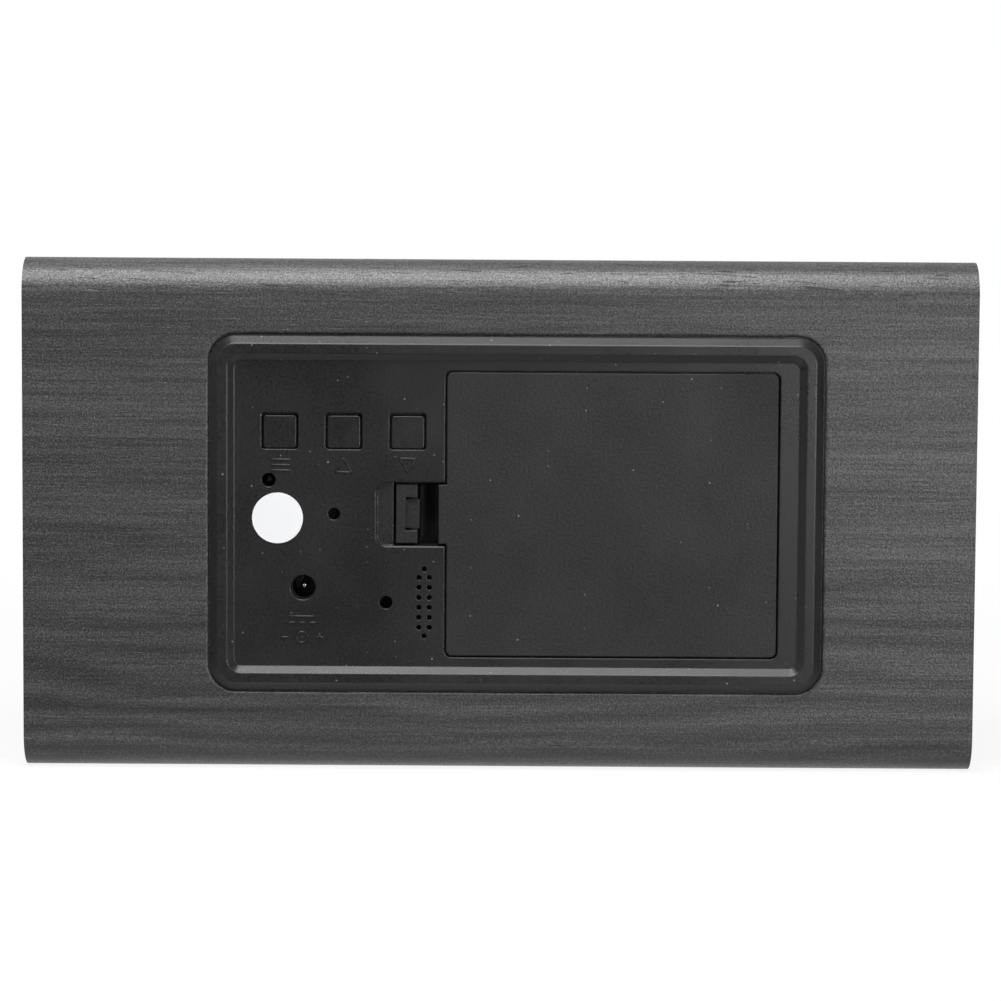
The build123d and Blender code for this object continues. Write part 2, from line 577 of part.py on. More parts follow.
def battery_door():
    """The door plate, its hinge tabs and the fixed half of its folded latch."""
    width = DOOR_OPENING_WIDTH - 2 * DOOR_GAP
    height = DOOR_OPENING_HEIGHT - 2 * DOOR_GAP
    plate = RectangleRounded(width, height, DOOR_CORNER - DOOR_GAP)
    door = raised(plate, DOOR_X, PANEL_Z, DOOR_INNER_Y, FIELD_Y)
    tab_zs = around(PANEL_Z, LATCH_TAB_WIDTH)
    door += span((DOOR_HIGH_X - DOOR_LEDGE, LATCH_LEG_X), (DOOR_INNER_Y, FIELD_Y), tab_zs)
    door = fillet(door.faces().sort_by(Axis.Y)[-1].edges(), DOOR_EDGE)
    tab_top_y = PANEL_INNER_Y - TAB_CLEARANCE
    tab_ys = (tab_top_y - TAB_THICKNESS, tab_top_y)
    for z in TAB_ZS:
        door += span((DOOR_LOW_X - TAB_REACH, HINGE_X + TAB_ROOT), tab_ys, around(z, TAB_WIDTH))
        door += span((HINGE_X, HINGE_X + TAB_ROOT), (tab_ys[0], DOOR_INNER_Y), around(z, TAB_WIDTH))
    leg_zs = around(PANEL_Z, LATCH_TAB_WIDTH - LATCH_LEG)
    leg_xs = (DOOR_HIGH_X + LATCH_LEG_GAP, LATCH_LEG_X)
    door += span(leg_xs, (LATCH_FOOT_Y, DOOR_INNER_Y), leg_zs)
    strip_ys = (LATCH_FOOT_Y, LATCH_PIVOT_Y + LATCH_STRIP_RISE)
    strip = span((leg_xs[0], LATCH_PIVOT_X), strip_ys, leg_zs)
    seat_radius = LATCH_KNUCKLE_RADIUS + LATCH_KNUCKLE_GAP
    strip -= Pos(LATCH_PIVOT_X, LATCH_PIVOT_Y, PANEL_Z) * Cylinder(seat_radius, LATCH_TAB_WIDTH)
    fold = Polygon(
        (LATCH_LEG_X, strip_ys[1]),
        ((LATCH_LEG_X + LATCH_ARM_X) / 2, strip_ys[1] - LATCH_FOLD_DEPTH),
        (LATCH_ARM_X, strip_ys[1]),
    )
    strip -= Pos(0, 0, PANEL_Z) * extrude(fold, LATCH_TAB_WIDTH / 2, both=True)
    return door + strip


def door_latch():
    """The springy tongue that is pressed towards the door to free it."""
    arm_zs = around(PANEL_Z, LATCH_TAB_WIDTH - LATCH_LEG)
    pad_top_y = FIELD_Y - LATCH_PAD_SINK
    pad_low_y = pad_top_y - LATCH_PAD_THICKNESS
    arm_width = LATCH_TAB_WIDTH - LATCH_LEG
    latch = Pos(LATCH_PIVOT_X, LATCH_PIVOT_Y, PANEL_Z) * Cylinder(LATCH_KNUCKLE_RADIUS, arm_width)
    latch += span((LATCH_ARM_X, LATCH_ARM_X + LATCH_LEG), (LATCH_PIVOT_Y, pad_low_y), arm_zs)
    pad = span((LATCH_ARM_X, LATCH_PAD_X), (pad_low_y, pad_top_y), around(PANEL_Z, LATCH_PAD_WIDTH))
    window_xs = (LATCH_ARM_X, LATCH_ARM_X + LATCH_WINDOW_LENGTH)
    pad -= span(window_xs, (pad_low_y, pad_top_y), around(PANEL_Z, LATCH_WINDOW_WIDTH))
    pad = fillet(pad.faces().sort_by(Axis.Y)[-1].edges(), DOOR_EDGE)
    latch += pad
    block_top_y = pad_low_y + LATCH_BLOCK_STEP
    block_ys = (block_top_y - LATCH_BLOCK_HEIGHT, block_top_y)
    block_width = LATCH_WINDOW_WIDTH - 2 * LATCH_BLOCK_STEP
    block_xs = (LATCH_ARM_X - LATCH_BLOCK_STEP, window_xs[1] + LATCH_BLOCK_STEP)
    latch += span(block_xs, block_ys, around(PANEL_Z, block_width))
    nose_xs = (window_xs[1], LIP_X - LATCH_NOSE_GAP)
    latch += span(nose_xs, (block_ys[0], pad_low_y), around(PANEL_Z, LATCH_NOSE_WIDTH))
    return latch


def push_button(spot):
    """A square cap with a flange that keeps it behind the panel, and a stem to its switch."""
    x, z = spot[0], spot[1] - BUTTON_SAG
    flange_top_y = PANEL_INNER_Y - BUTTON_FLANGE_GAP
    flange_low_y = flange_top_y - BUTTON_FLANGE
    stem_low_y = BOARD_REAR_Y + SWITCH_HEIGHT + PLUNGER_PROUD
    cap = RectangleRounded(BUTTON_SIZE, BUTTON_SIZE, BUTTON_CORNER)
    button = raised(cap, x, z, flange_low_y, FIELD_Y - BUTTON_SINK)
    button = fillet(button.faces().sort_by(Axis.Y)[-1].edges(), BUTTON_EDGE)
    flange_size = BUTTON_SIZE + 2 * (BUTTON_GAP + BUTTON_FLANGE_LIP)
    button += raised(Rectangle(flange_size, flange_size), x, z, flange_low_y, flange_top_y)
    return button + rod((x, z), BUTTON_STEM_DIAMETER, stem_low_y, flange_low_y)


def switch_plunger(spot):
    """The part of a tactile switch that the stem pushes in."""
    top_y = BOARD_REAR_Y + SWITCH_HEIGHT
    return rod(spot, PLUNGER_DIAMETER, top_y - PLUNGER_DEPTH, top_y + PLUNGER_PROUD)


def switch_well(spot, diameter, travel):
    """The room that a plunger needs inside its switch body."""
    top_y = BOARD_REAR_Y + SWITCH_HEIGHT
    low_y = top_y - PLUNGER_DEPTH - travel - PLUNGER_GAP
    return rod(spot, diameter + 2 * PLUNGER_GAP, low_y, top_y)


def switch_bodies():
    """The three tactile switches under the buttons."""
    bodies = []
    for x, z in BUTTON_SPOTS.values():
        outline = RectangleRounded(SWITCH_SIZE, SWITCH_SIZE, BUTTON_CORNER)
        body = raised(outline, x, z, BOARD_REAR_Y, BOARD_REAR_Y + SWITCH_HEIGHT)
        bodies.append(body - switch_well((x, z), PLUNGER_DIAMETER, BUTTON_TRAVEL))
    return bodies


def reset_switch_body():
    """The small switch behind the pinhole."""
    x, z = RESET_SPOT
    body = span(around(x, RESET_WIDTH), (BOARD_REAR_Y, BOARD_REAR_Y + SWITCH_HEIGHT), around(z, RESET_HEIGHT))
    return body - switch_well(RESET_SPOT, RESET_PLUNGER, RESET_TRAVEL)


def reset_plunger():
    """The long plunger that a pin reaches through the pinhole."""
    low_y = BOARD_REAR_Y + SWITCH_HEIGHT - PLUNGER_DEPTH
    plunger = rod(RESET_SPOT, RESET_PLUNGER, low_y, PANEL_INNER_Y - RESET_SINK)
    return fillet(plunger.edges().sort_by(Axis.Y)[-1], RESET_TIP)


def control_board():
    """The board behind the buttons, with its screw holes."""
    board_zs = (BOARD_LOW_Z, BOARD_TOP_Z)
    board = span((BOARD_LOW_X, BOARD_HIGH_X), (BOARD_FRONT_Y, BOARD_REAR_Y), board_zs)
    for spot in BOSS_SPOTS:
        board -= rod(spot, SCREW_HOLE, BOARD_FRONT_Y, BOARD_REAR_Y)
    return board


def jack_housing():
    """The moulded body of the power socket."""
    x, z = JACK_SPOT
    top_y = PANEL_INNER_Y - JACK_GAP
    housing = span(around(x, JACK_SIZE), (BOARD_REAR_Y, top_y), around(z, JACK_SIZE))
    housing -= rod(JACK_SPOT, JACK_BORE, BOARD_REAR_Y + JACK_FLOOR, top_y)
    pin_hole = JACK_PIN_DIAMETER + 2 * JACK_PIN_GAP
    return housing - rod(JACK_SPOT, pin_hole, BOARD_REAR_Y, BOARD_REAR_Y + JACK_FLOOR)


def jack_pin():
    """The centre pin of the power socket."""
    top_y = PANEL_INNER_Y - JACK_GAP - JACK_PIN_SINK
    pin = rod(JACK_SPOT, JACK_PIN_DIAMETER, BOARD_REAR_Y, top_y)
    return fillet(pin.edges().sort_by(Axis.Y)[-1], JACK_PIN_TIP)


def lead_pins(spot, high_y):
    """The two thin legs that stand a small device off the board."""
    return [rod((x, spot[1]), LEAD_PIN_DIAMETER, BOARD_REAR_Y, high_y) for x in around(spot[0], LEAD_PIN_PITCH)]


def microphone():
    """The capsule in its collar behind the middle pinhole."""
    low_y = PANEL_INNER_Y - MIC_HEIGHT
    return rod(MIC_SPOT, MIC_DIAMETER, low_y, PANEL_INNER_Y) + lead_pins(MIC_SPOT, low_y)


def buzzer():
    """The alarm's sounder under its port."""
    top_y = BOARD_REAR_Y + BUZZER_HEIGHT
    can = rod(BUZZER_SPOT, BUZZER_DIAMETER, BOARD_REAR_Y, top_y)
    return can - rod(BUZZER_SPOT, BUZZER_MOUTH, top_y - BUZZER_MOUTH_DEPTH, top_y)


def temperature_sensor():
    """The bead that hangs in the air behind the grille."""
    bead_y = PANEL_INNER_Y - BEAD_GAP - BEAD_DIAMETER / 2
    bead = Pos(GRILLE_SPOT[0], bead_y, GRILLE_SPOT[1]) * Sphere(BEAD_DIAMETER / 2)
    return bead + lead_pins(GRILLE_SPOT, bead_y)


def sticker():
    """The blank round sticker."""
    return rod(STICKER_SPOT, STICKER_DIAMETER, FIELD_Y, FIELD_Y + STICKER_THICKNESS)


def cell_direction(index):
    """Which way the plus end of a cell points along X."""
    return 1 if index % 2 == 0 else -1


def cell(index):
    """One cell, with its nub against the contact plate."""
    direction = cell_direction(index)
    nub_x = BAY_HIGH_X - CONTACT_THICKNESS if direction > 0 else BAY_LOW_X + CONTACT_THICKNESS
    can_length = CELL_LENGTH - NUB_LENGTH
    can = extrude(Plane.YZ * Circle(CELL_DIAMETER / 2), can_length)
    can = fillet(can.edges().filter_by(GeomType.CIRCLE), CELL_EDGE)
    nub = Pos(can_length, 0, 0) * extrude(Plane.YZ * Circle(NUB_DIAMETER / 2), NUB_LENGTH)
    upright = can + nub
    turned = upright if direction > 0 else Rot(0, 0, 180) * upright
    return Pos(nub_x - direction * CELL_LENGTH, CELL_Y, CELL_ZS[index]) * turned


def contact_plate(at_high_end, first, last):
    """A plate across one cell's end, or across two neighbours."""
    plate_xs = (BAY_LOW_X, BAY_LOW_X + CONTACT_THICKNESS)
    if at_high_end:
        plate_xs = (BAY_HIGH_X - CONTACT_THICKNESS, BAY_HIGH_X)
    low_y = BAY_FLOOR_Y + CONTACT_LIFT
    plate_zs = (CELL_ZS[first] - CONTACT_WIDTH / 2, CELL_ZS[last] + CONTACT_WIDTH / 2)
    plate = span(plate_xs, (low_y, low_y + CONTACT_HEIGHT), plate_zs)
    if at_high_end and first == last:
        plate += span(plate_xs, (TRAY_BOTTOM_Y - TAIL_LENGTH, low_y), around(CELL_ZS[first], TAIL_WIDTH))
    return plate


def contact_plates():
    """Plates that string the cells together, with a tail on the first and the last."""
    plates = []
    for at_high_end in (True, False):
        row = 0
        while row < CELL_COUNT:
            single = at_high_end and row in (0, CELL_COUNT - 1)
            last = row if single else row + 1
            plates.append(contact_plate(at_high_end, row, last))
            row = last + 1
    return plates


def spring_point(turn):
    """A point on the spring's wire, with the wide end on the plate at X = 0."""
    share = turn / SPRING_TURNS
    length = SPRING_SPACE - 2 * SPRING_GAP - SPRING_WIRE
    radius = SPRING_WIDE_RADIUS + (SPRING_NARROW_RADIUS - SPRING_WIDE_RADIUS) * share
    angle = 2 * math.pi * turn
    start_x = SPRING_GAP + SPRING_WIRE / 2
    return Vector(start_x + length * share, radius * math.cos(angle), radius * math.sin(angle))


def spring_heading(turn):
    """The wire's direction at a point of the spring."""
    step = 0.0001
    return (spring_point(turn + step) - spring_point(turn - step)).normalized()


def biarc(start, start_heading, end, end_heading):
    """Two arcs that leave one point and reach another in the given directions."""
    chord = end - start
    both = start_heading + end_heading
    bend = 2 * (1 - start_heading.dot(end_heading))
    along = chord.dot(both)
    reach = (math.sqrt(along * along + bend * chord.dot(chord)) - along) / bend
    middle = (start + end + (start_heading - end_heading) * reach) * 0.5
    first = TangentArc(start, middle, tangent=start_heading)
    return [first, TangentArc(middle, end, tangent=first % 1)]


def coil_spring():
    """One cone-shaped spring, wound as biarcs of a quarter turn."""
    quarters = round(SPRING_TURNS * 4)
    arcs = []
    for i in range(quarters):
        start, end = SPRING_TURNS * i / quarters, SPRING_TURNS * (i + 1) / quarters
        arcs += biarc(spring_point(start), spring_heading(start), spring_point(end), spring_heading(end))
    path = Wire(arcs)
    section = Plane(origin=path @ 0, z_dir=path % 0) * Circle(SPRING_WIRE / 2)
    return sweep(section, path=path)


def spring_self_gap():
    """The least room between the spring's own turns."""
    steps = 60
    points = [spring_point(i / steps) for i in range(int(SPRING_TURNS * steps) + 1)]
    half_turn = steps // 2
    gaps = [
        (points[i] - points[j]).length
        for i in range(len(points))
        for j in range(i + half_turn, len(points))
    ]
    return min(gaps) - SPRING_WIRE


def coil_springs():
    """The springs at the cells' flat ends."""
    coil = coil_spring()
    springs = []
    for i in range(CELL_COUNT):
        if cell_direction(i) > 0:
            place = Pos(BAY_LOW_X + CONTACT_THICKNESS, CELL_Y, CELL_ZS[i])
        else:
            place = Pos(BAY_HIGH_X - CONTACT_THICKNESS, CELL_Y, CELL_ZS[i]) * Rot(0, 0, 180)
        springs.append(place * coil)
    return springs


def battery_lead(index):
    """A wire from a contact's tail to the control board."""
    start_x = BAY_HIGH_X - CONTACT_THICKNESS / 2
    tail_y = TRAY_BOTTOM_Y - TAIL_LENGTH
    low_y = tail_y - WIRE_DROP
    end_x = BOARD_LOW_X + WIRE_LANDING
    z = CELL_ZS[index]
    corners = [(start_x, tail_y, z), (start_x, low_y, z), (end_x, low_y, z), (end_x, BOARD_FRONT_Y, z)]
    path = FilletPolyline(*corners, radius=WIRE_BEND)
    section = Plane(origin=path @ 0, z_dir=path % 0) * Circle(WIRE_DIAMETER / 2)
    return sweep(section, path=path)


def bar_segment(length):
    """One bar of a digit, pointed at both ends."""
    half, stroke = length / 2, SEGMENT_STROKE / 2
    return Polygon(
        (-half, 0),
        (-half + stroke, -stroke),
        (half - stroke, -stroke),
        (half, 0),
        (half - stroke, stroke),
        (-half + stroke, stroke),
    )


def segment_places():
    """Every segment's centre, as (X, Z, whether it is upright)."""
    across = (DIGIT_WIDTH - SEGMENT_STROKE) / 2
    up = (DIGIT_HEIGHT - SEGMENT_STROKE) / 2
    places = []
    for x in DIGIT_XS:
        places += [(x, MID_Z + level * up, False) for level in (-1, 0, 1)]
        places += [(x + a * across, MID_Z + b * up / 2, True) for a in (-1, 1) for b in (-1, 1)]
    return places


def colon_places():
    """The two dots between the hours and the minutes."""
    return [(0, z) for z in around(MID_Z, COLON_SPREAD)]


def light_guide():
    """The frame that keeps each segment's light to itself."""
    front_y = VENEER_INNER_Y + DIFFUSER_THICKNESS
    outline = RectangleRounded(
        WINDOW_WIDTH - 2 * GUIDE_CLEARANCE,
        WINDOW_HEIGHT - 2 * GUIDE_CLEARANCE,
        WINDOW_CORNER - GUIDE_CLEARANCE,
    )
    guide = raised(outline, 0, MID_Z, front_y, CAVITY_FRONT_Y)
    flat_length = DIGIT_WIDTH - SEGMENT_STROKE - 2 * SEGMENT_GAP
    upright_length = (DIGIT_HEIGHT - SEGMENT_STROKE) / 2 - 2 * SEGMENT_GAP
    flat_cell, upright_cell = bar_segment(flat_length), Rot(0, 0, 90) * bar_segment(upright_length)
    for x, z, upright in segment_places():
        guide -= raised(upright_cell if upright else flat_cell, x, z, front_y, CAVITY_FRONT_Y)
    for spot in colon_places():
        guide -= rod(spot, COLON_DIAMETER, front_y, CAVITY_FRONT_Y)
    return guide


def diffuser_sheet():
    """The thin sheet between the segment frame and the veneer."""
    width = WINDOW_WIDTH - 2 * GUIDE_CLEARANCE
    height = WINDOW_HEIGHT - 2 * GUIDE_CLEARANCE
    outline = RectangleRounded(width, height, WINDOW_CORNER - GUIDE_CLEARANCE)
    return raised(outline, 0, MID_Z, VENEER_INNER_Y, VENEER_INNER_Y + DIFFUSER_THICKNESS)


def led_chips():
    """One chip in each segment and dot."""
    spots = [(x, z) for x, z, upright in segment_places()] + colon_places()
    chip_ys = (CAVITY_FRONT_Y - LED_HEIGHT, CAVITY_FRONT_Y)
    return [span(around(x, LED_LENGTH), chip_ys, around(z, LED_WIDTH)) for x, z in spots]


def display_board():
    """The board behind the segment frame, screwed to the case's front wall."""
    board_ys = (CAVITY_FRONT_Y, DISPLAY_REAR_Y)
    board = span(around(0, DISPLAY_WIDTH), board_ys, around(MID_Z, DISPLAY_HEIGHT))
    for spot in DISPLAY_SCREW_SPOTS:
        board -= rod(spot, SCREW_HOLE, CAVITY_FRONT_Y, DISPLAY_REAR_Y)
    return board


def clock_chip():
    """The chip that keeps time and drives the segments."""
    chip_ys = (DISPLAY_REAR_Y, DISPLAY_REAR_Y + CHIP_HEIGHT)
    return span(around(CHIP_X, CHIP_LENGTH), chip_ys, around(MID_Z, CHIP_WIDTH))


def quartz_crystal():
    """The small can beside the chip that sets its rate."""
    x = CHIP_X + CHIP_LENGTH / 2 + CRYSTAL_SPACE
    y = DISPLAY_REAR_Y + CRYSTAL_GAP + CRYSTAL_DIAMETER / 2
    return Pos(x, y, MID_Z) * Cylinder(CRYSTAL_DIAMETER / 2, CRYSTAL_LENGTH)


def ribbon_connectors():
    """A connector on each board for the ribbon."""
    connector_xs = around(RIBBON_X, CONNECTOR_WIDTH)
    connector_zs = around(MID_Z + RIBBON_RISE, CONNECTOR_HEIGHT)
    return [
        span(connector_xs, (BOARD_FRONT_Y - CONNECTOR_DEPTH, BOARD_FRONT_Y), connector_zs),
        span(connector_xs, (DISPLAY_REAR_Y, DISPLAY_REAR_Y + CONNECTOR_DEPTH), connector_zs),
    ]


def ribbon_cable():
    """The flat cable that hangs in a loop between the two connectors."""
    high_y = BOARD_FRONT_Y - CONNECTOR_DEPTH / 2
    low_y = DISPLAY_REAR_Y + CONNECTOR_DEPTH / 2
    exit_z = MID_Z + RIBBON_RISE - CONNECTOR_HEIGHT / 2
    bend_z = exit_z - RIBBON_LEG
    radius = (high_y - low_y) / 2
    bend = Circle(radius + RIBBON_THICKNESS / 2) - Circle(radius - RIBBON_THICKNESS / 2)
    bend &= Pos(0, -radius) * Rectangle(3 * radius, 2 * radius)
    loop = Pos((high_y + low_y) / 2, bend_z) * bend
    for y in (high_y, low_y):
        loop += Pos(y, bend_z + RIBBON_LEG / 2) * Rectangle(RIBBON_THICKNESS, RIBBON_LEG)
    return Pos(RIBBON_X, 0, 0) * extrude(Plane.YZ * loop, RIBBON_WIDTH / 2, both=True)


def all_nodes():
    """Every separate piece of the clock, by name."""
    nodes = {
        "wood_case": wood_case(),
        "front_veneer": front_veneer(),
        "left_end_panel": end_panel(-1),
        "right_end_panel": end_panel(1),
        "left_end_veneer": end_veneer(-1),
        "right_end_veneer": end_veneer(1),
        "rear_panel": rear_panel(),
        "battery_door": battery_door(),
        "door_latch": door_latch(),
    }
    for name, spot in BUTTON_SPOTS.items():
        nodes[f"{name}_button"] = push_button(spot)
        nodes[f"{name}_switch_plunger"] = switch_plunger(spot)
    nodes["button_switch_bodies"] = switch_bodies()
    nodes["reset_switch_body"] = reset_switch_body()
    nodes["reset_plunger"] = reset_plunger()
    nodes["control_board"] = control_board()
    nodes["board_screws"] = [
        screw(spot, BOARD_FRONT_Y, BOARD_THICKNESS + BOARD_SCREW_GRIP) for spot in BOSS_SPOTS
    ]
    nodes["dc_jack_housing"] = jack_housing()
    nodes["dc_jack_pin"] = jack_pin()
    nodes["buzzer"] = buzzer()
    nodes["microphone"] = microphone()
    nodes["temperature_sensor"] = temperature_sensor()
    nodes["blank_sticker"] = sticker()
    nodes["aaa_cells"] = [cell(i) for i in range(CELL_COUNT)]
    nodes["contact_plates"] = contact_plates()
    nodes["contact_springs"] = coil_springs()
    nodes["plus_lead"] = battery_lead(0)
    nodes["minus_lead"] = battery_lead(CELL_COUNT - 1)
    nodes["light_guide_frame"] = light_guide()
    nodes["diffuser_sheet"] = diffuser_sheet()
    nodes["led_chips"] = led_chips()
    nodes["display_board"] = display_board()
    nodes["display_screws"] = [
        screw(spot, DISPLAY_REAR_Y, -BOARD_THICKNESS - DISPLAY_SCREW_GRIP) for spot in DISPLAY_SCREW_SPOTS
    ]
    nodes["clock_chip"] = clock_chip()
    nodes["quartz_crystal"] = quartz_crystal()
    nodes["ribbon_connectors"] = ribbon_connectors()
    nodes["ribbon_cable"] = ribbon_cable()
    return nodes


def main():
    os.makedirs("parts", exist_ok=True)
    for name, shape in all_nodes().items():
        if isinstance(shape, list):
            shape = Compound([solid for piece in shape for solid in piece.solids()])
        export_step(shape, f"parts/{name}.step")
    print(f"door hinge at X {HINGE_X:.3f}, Y {FIELD_Y:.3f}")
    print(f"latch pivot at X {LATCH_PIVOT_X:.3f}, Y {LATCH_PIVOT_Y:.3f}")
    print(f"least gap between the spring's turns {spring_self_gap():.2f}")


main()
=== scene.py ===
# %% [markdown]
# # A wood-grain desk clock, seen from behind
#
# The clock is a dark wood-grain block. Its lit digits shine through the front, and its rear carries a
# black moulded panel with a battery door, three push buttons, a power socket and a few small holes.
# The solids of the case, panel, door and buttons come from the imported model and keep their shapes.
# This lesson gives them their finishes, adds what a solid model leaves out, and lights the result.

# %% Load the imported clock
import math

import bpy
from mathutils import Matrix, Vector


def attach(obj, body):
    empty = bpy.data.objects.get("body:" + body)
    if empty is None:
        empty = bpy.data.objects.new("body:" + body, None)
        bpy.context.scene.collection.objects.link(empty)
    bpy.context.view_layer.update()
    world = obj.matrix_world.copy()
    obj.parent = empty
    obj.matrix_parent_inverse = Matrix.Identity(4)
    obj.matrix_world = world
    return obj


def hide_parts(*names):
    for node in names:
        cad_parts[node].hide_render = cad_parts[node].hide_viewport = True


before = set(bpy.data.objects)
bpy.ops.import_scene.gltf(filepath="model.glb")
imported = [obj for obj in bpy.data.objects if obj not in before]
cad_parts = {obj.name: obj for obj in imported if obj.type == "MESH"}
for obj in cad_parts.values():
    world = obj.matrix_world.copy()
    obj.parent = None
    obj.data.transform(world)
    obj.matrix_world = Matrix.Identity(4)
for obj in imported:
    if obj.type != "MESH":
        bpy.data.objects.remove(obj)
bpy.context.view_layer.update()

MM = 0.001

# %% [markdown]
# ## Tools for finishes
#
# A finish is a small tree of nodes. One function adds a node, sets its values and links its inputs, so
# that each finish below reads as a list of what the eye sees. Colours are written as they are picked on
# a screen, in sRGB hex, and one function turns them to the linear values that the renderer works in.

# %% Node and colour helpers
def linear(code):
    """An sRGB hex colour as linear RGBA."""
    shares = [int(code[i:i + 2], 16) / 255 for i in (1, 3, 5)]
    return [s / 12.92 if s <= 0.04045 else ((s + 0.055) / 1.055) ** 2.4 for s in shares] + [1.0]


def add(tree, kind, inputs=(), **settings):
    """Adds a node. Its inputs come in order or by name: a socket is linked, and a value is set."""
    node = tree.nodes.new("ShaderNode" + kind)
    for name, value in settings.items():
        setattr(node, name, value)
    pairs = inputs.items() if isinstance(inputs, dict) else enumerate(inputs)
    for key, value in pairs:
        if isinstance(value, bpy.types.NodeSocket):
            tree.links.new(value, node.inputs[key])
        else:
            node.inputs[key].default_value = value
    return node


def new_finish(name):
    """An empty finish: its material, its tree, its shader and the object's own coordinates."""
    material = bpy.data.materials.new(name)
    material.use_nodes = True
    tree = material.node_tree
    tree.nodes.clear()
    shader = add(tree, "BsdfPrincipled")
    add(tree, "OutputMaterial", {"Surface": shader.outputs["BSDF"]})
    return material, tree, shader, add(tree, "TexCoord").outputs["Object"]


def grains(tree, coords, along, across, detail):
    """A cloudy pattern whose grains are so many millimetres long and wide."""
    scale = (1 / (along * MM), 1 / (across * MM), 1 / (across * MM))
    scaled = add(tree, "Mapping", {"Vector": coords, "Scale": scale}).outputs[0]
    return add(tree, "TexNoise", {"Vector": scaled, "Scale": 1.0, "Detail": detail}).outputs["Fac"]


print("finish helpers ready")

# %% [markdown]
# ## Wood-grain film
#
# The case is fibreboard wrapped in a printed film, dark grey with a satin face. The film has broad bands
# and streaks of tone along the length, long thin fibres, and a fine speckle whose light grains glint. A
# curve makes those light grains rare and bright in the colour, partly grain tone and partly a painted
# glint. Short pores are pressed into it. Their dark colour is painted mostly on the rounded edges, where
# grazing light shows them, so there it is painted shade. Wandering rings darken it towards the base,
# partly grain and partly painted shade. On the square ends the film is a separate sheet with its grain
# upright. An image of a plank would also do, but a pattern made from sizes in millimetres fits every side
# and needs no file. Ends and rounded edges are told apart by their normal, so that one finish serves all
# the wood. The dots of the print are too fine to show, so the speckle is drawn coarser.

# %% Grain, pores and rings
PORE_LENGTH, PORE_WIDTH, PORE_SLANT, PORE_CUT = 6.5, 0.36, 4.0, (0.745, 0.775)
END_NORMAL = 0.7
# How dark the pores are painted on flat faces and on rounded edges: painted shade where light grazes
ROUND_NORMAL, ROUND_PORE_SHADE = (0.03, 0.2), (0.12, 1.0)
RING_SPACING, RING_HEIGHT, RING_FADE_AND_SHADE = 4.6, (12.0, 40.0), (1.0, 0.25)
WANDER_LENGTH, WANDER_WIDTH, WANDER_PHASE = 70.0, 14.0, 26.0


def grain_direction(tree, coords, sideways):
    """Coordinates whose first axis follows the grain: along the case, and upright on its ends."""
    x, y, z = add(tree, "SeparateXYZ", [coords]).outputs
    upright = add(tree, "CombineXYZ", [z, y, x]).outputs[0]
    turn = add(tree, "Math", [sideways], operation="ABSOLUTE").outputs[0]
    at_end = add(tree, "Math", [turn, END_NORMAL], operation="GREATER_THAN").outputs[0]
    return add(tree, "Mix", {0: at_end, 4: coords, 5: upright}, data_type="VECTOR").outputs[1]


def pores_shaded_on_rounds(tree, grain, upward):
    """Short slanted pores, painted dark mostly on the rounded edges as painted shade from grazing light.
    """
    slant = add(tree, "Mapping", {"Vector": grain, "Rotation": (0, math.radians(PORE_SLANT), 0)})
    pores = grains(tree, slant.outputs[0], PORE_LENGTH, PORE_WIDTH, 0.0)
    pores = add(tree, "MapRange", [pores, *PORE_CUT, 0.0, 1.0]).outputs[0]
    # The pores are painted dark mostly where the surface tilts, on the rounded edges: painted shade
    tilt = add(tree, "Math", [upward], operation="ABSOLUTE").outputs[0]
    grazing_shade = add(tree, "MapRange", [tilt, *ROUND_NORMAL, *ROUND_PORE_SHADE]).outputs[0]
    return add(tree, "Math", [pores, grazing_shade], operation="MULTIPLY").outputs[0]


def wandering_rings_and_base_shade(tree, grain):
    """Level lines that wander, as where a plank is sawn along the trunk. They fade upwards, so they also
    darken the base, partly as painted shade.
    """
    wander = grains(tree, grain, WANDER_LENGTH, WANDER_WIDTH, 1.0)
    across = add(tree, "SeparateXYZ", [grain]).outputs[2]
    turns = 2 * math.pi / (RING_SPACING * MM)
    level = add(tree, "Math", [across, turns], operation="MULTIPLY").outputs[0]
    phase = add(tree, "Math", [wander, WANDER_PHASE, level], operation="MULTIPLY_ADD").outputs[0]
    wave = add(tree, "Math", [phase], operation="SINE").outputs[0]
    trough = add(tree, "Math", [wave, 1.0], operation="SUBTRACT").outputs[0]
    low, high = (height * MM for height in RING_HEIGHT)
    # The fade leaves the lower case darker overall: partly grain, partly painted shade
    base_shade_fade = add(tree, "MapRange", [across, low, high, *RING_FADE_AND_SHADE]).outputs[0]
    return add(tree, "Math", [trough, base_shade_fade], operation="MULTIPLY").outputs[0]


print("grain, pores and rings ready")

# %% Wood-grain film
BAND_LENGTH, BAND_WIDTH, BAND_WEIGHT = 140.0, 6.0, 0.4
STREAK_LENGTH, STREAK_WIDTH, STREAK_WEIGHT = 45.0, 0.7, 0.54
FIBRE_LENGTH, FIBRE_WIDTH, FIBRE_WEIGHT = 14.0, 0.32, 0.58
SPECKLE, SPECKLE_WEIGHT, RING_WEIGHT = 0.27, 1.95, 0.12
WOOD_DARK, WOOD_LIGHT, PORE_DARK_AND_SHADE = "#19191a", "#5e5e5f", "#0c0c0d"
# The curve gives the film's tone a bright tail, partly a painted glint
WOOD_TONES, TONE_CURVE_AND_PAINTED_GLINT = (1.15, 2.19), 1.6
GLINT_RANGE, GLINT_ROUGHNESS, FILM_IOR = (0.3, 0.7), (0.46, 0.28), 1.58
PORE_DEPTH, SPECKLE_HEIGHT, FILM_BUMP, FILM_DEPTH = 3.0, 1.2, 0.7, 0.05


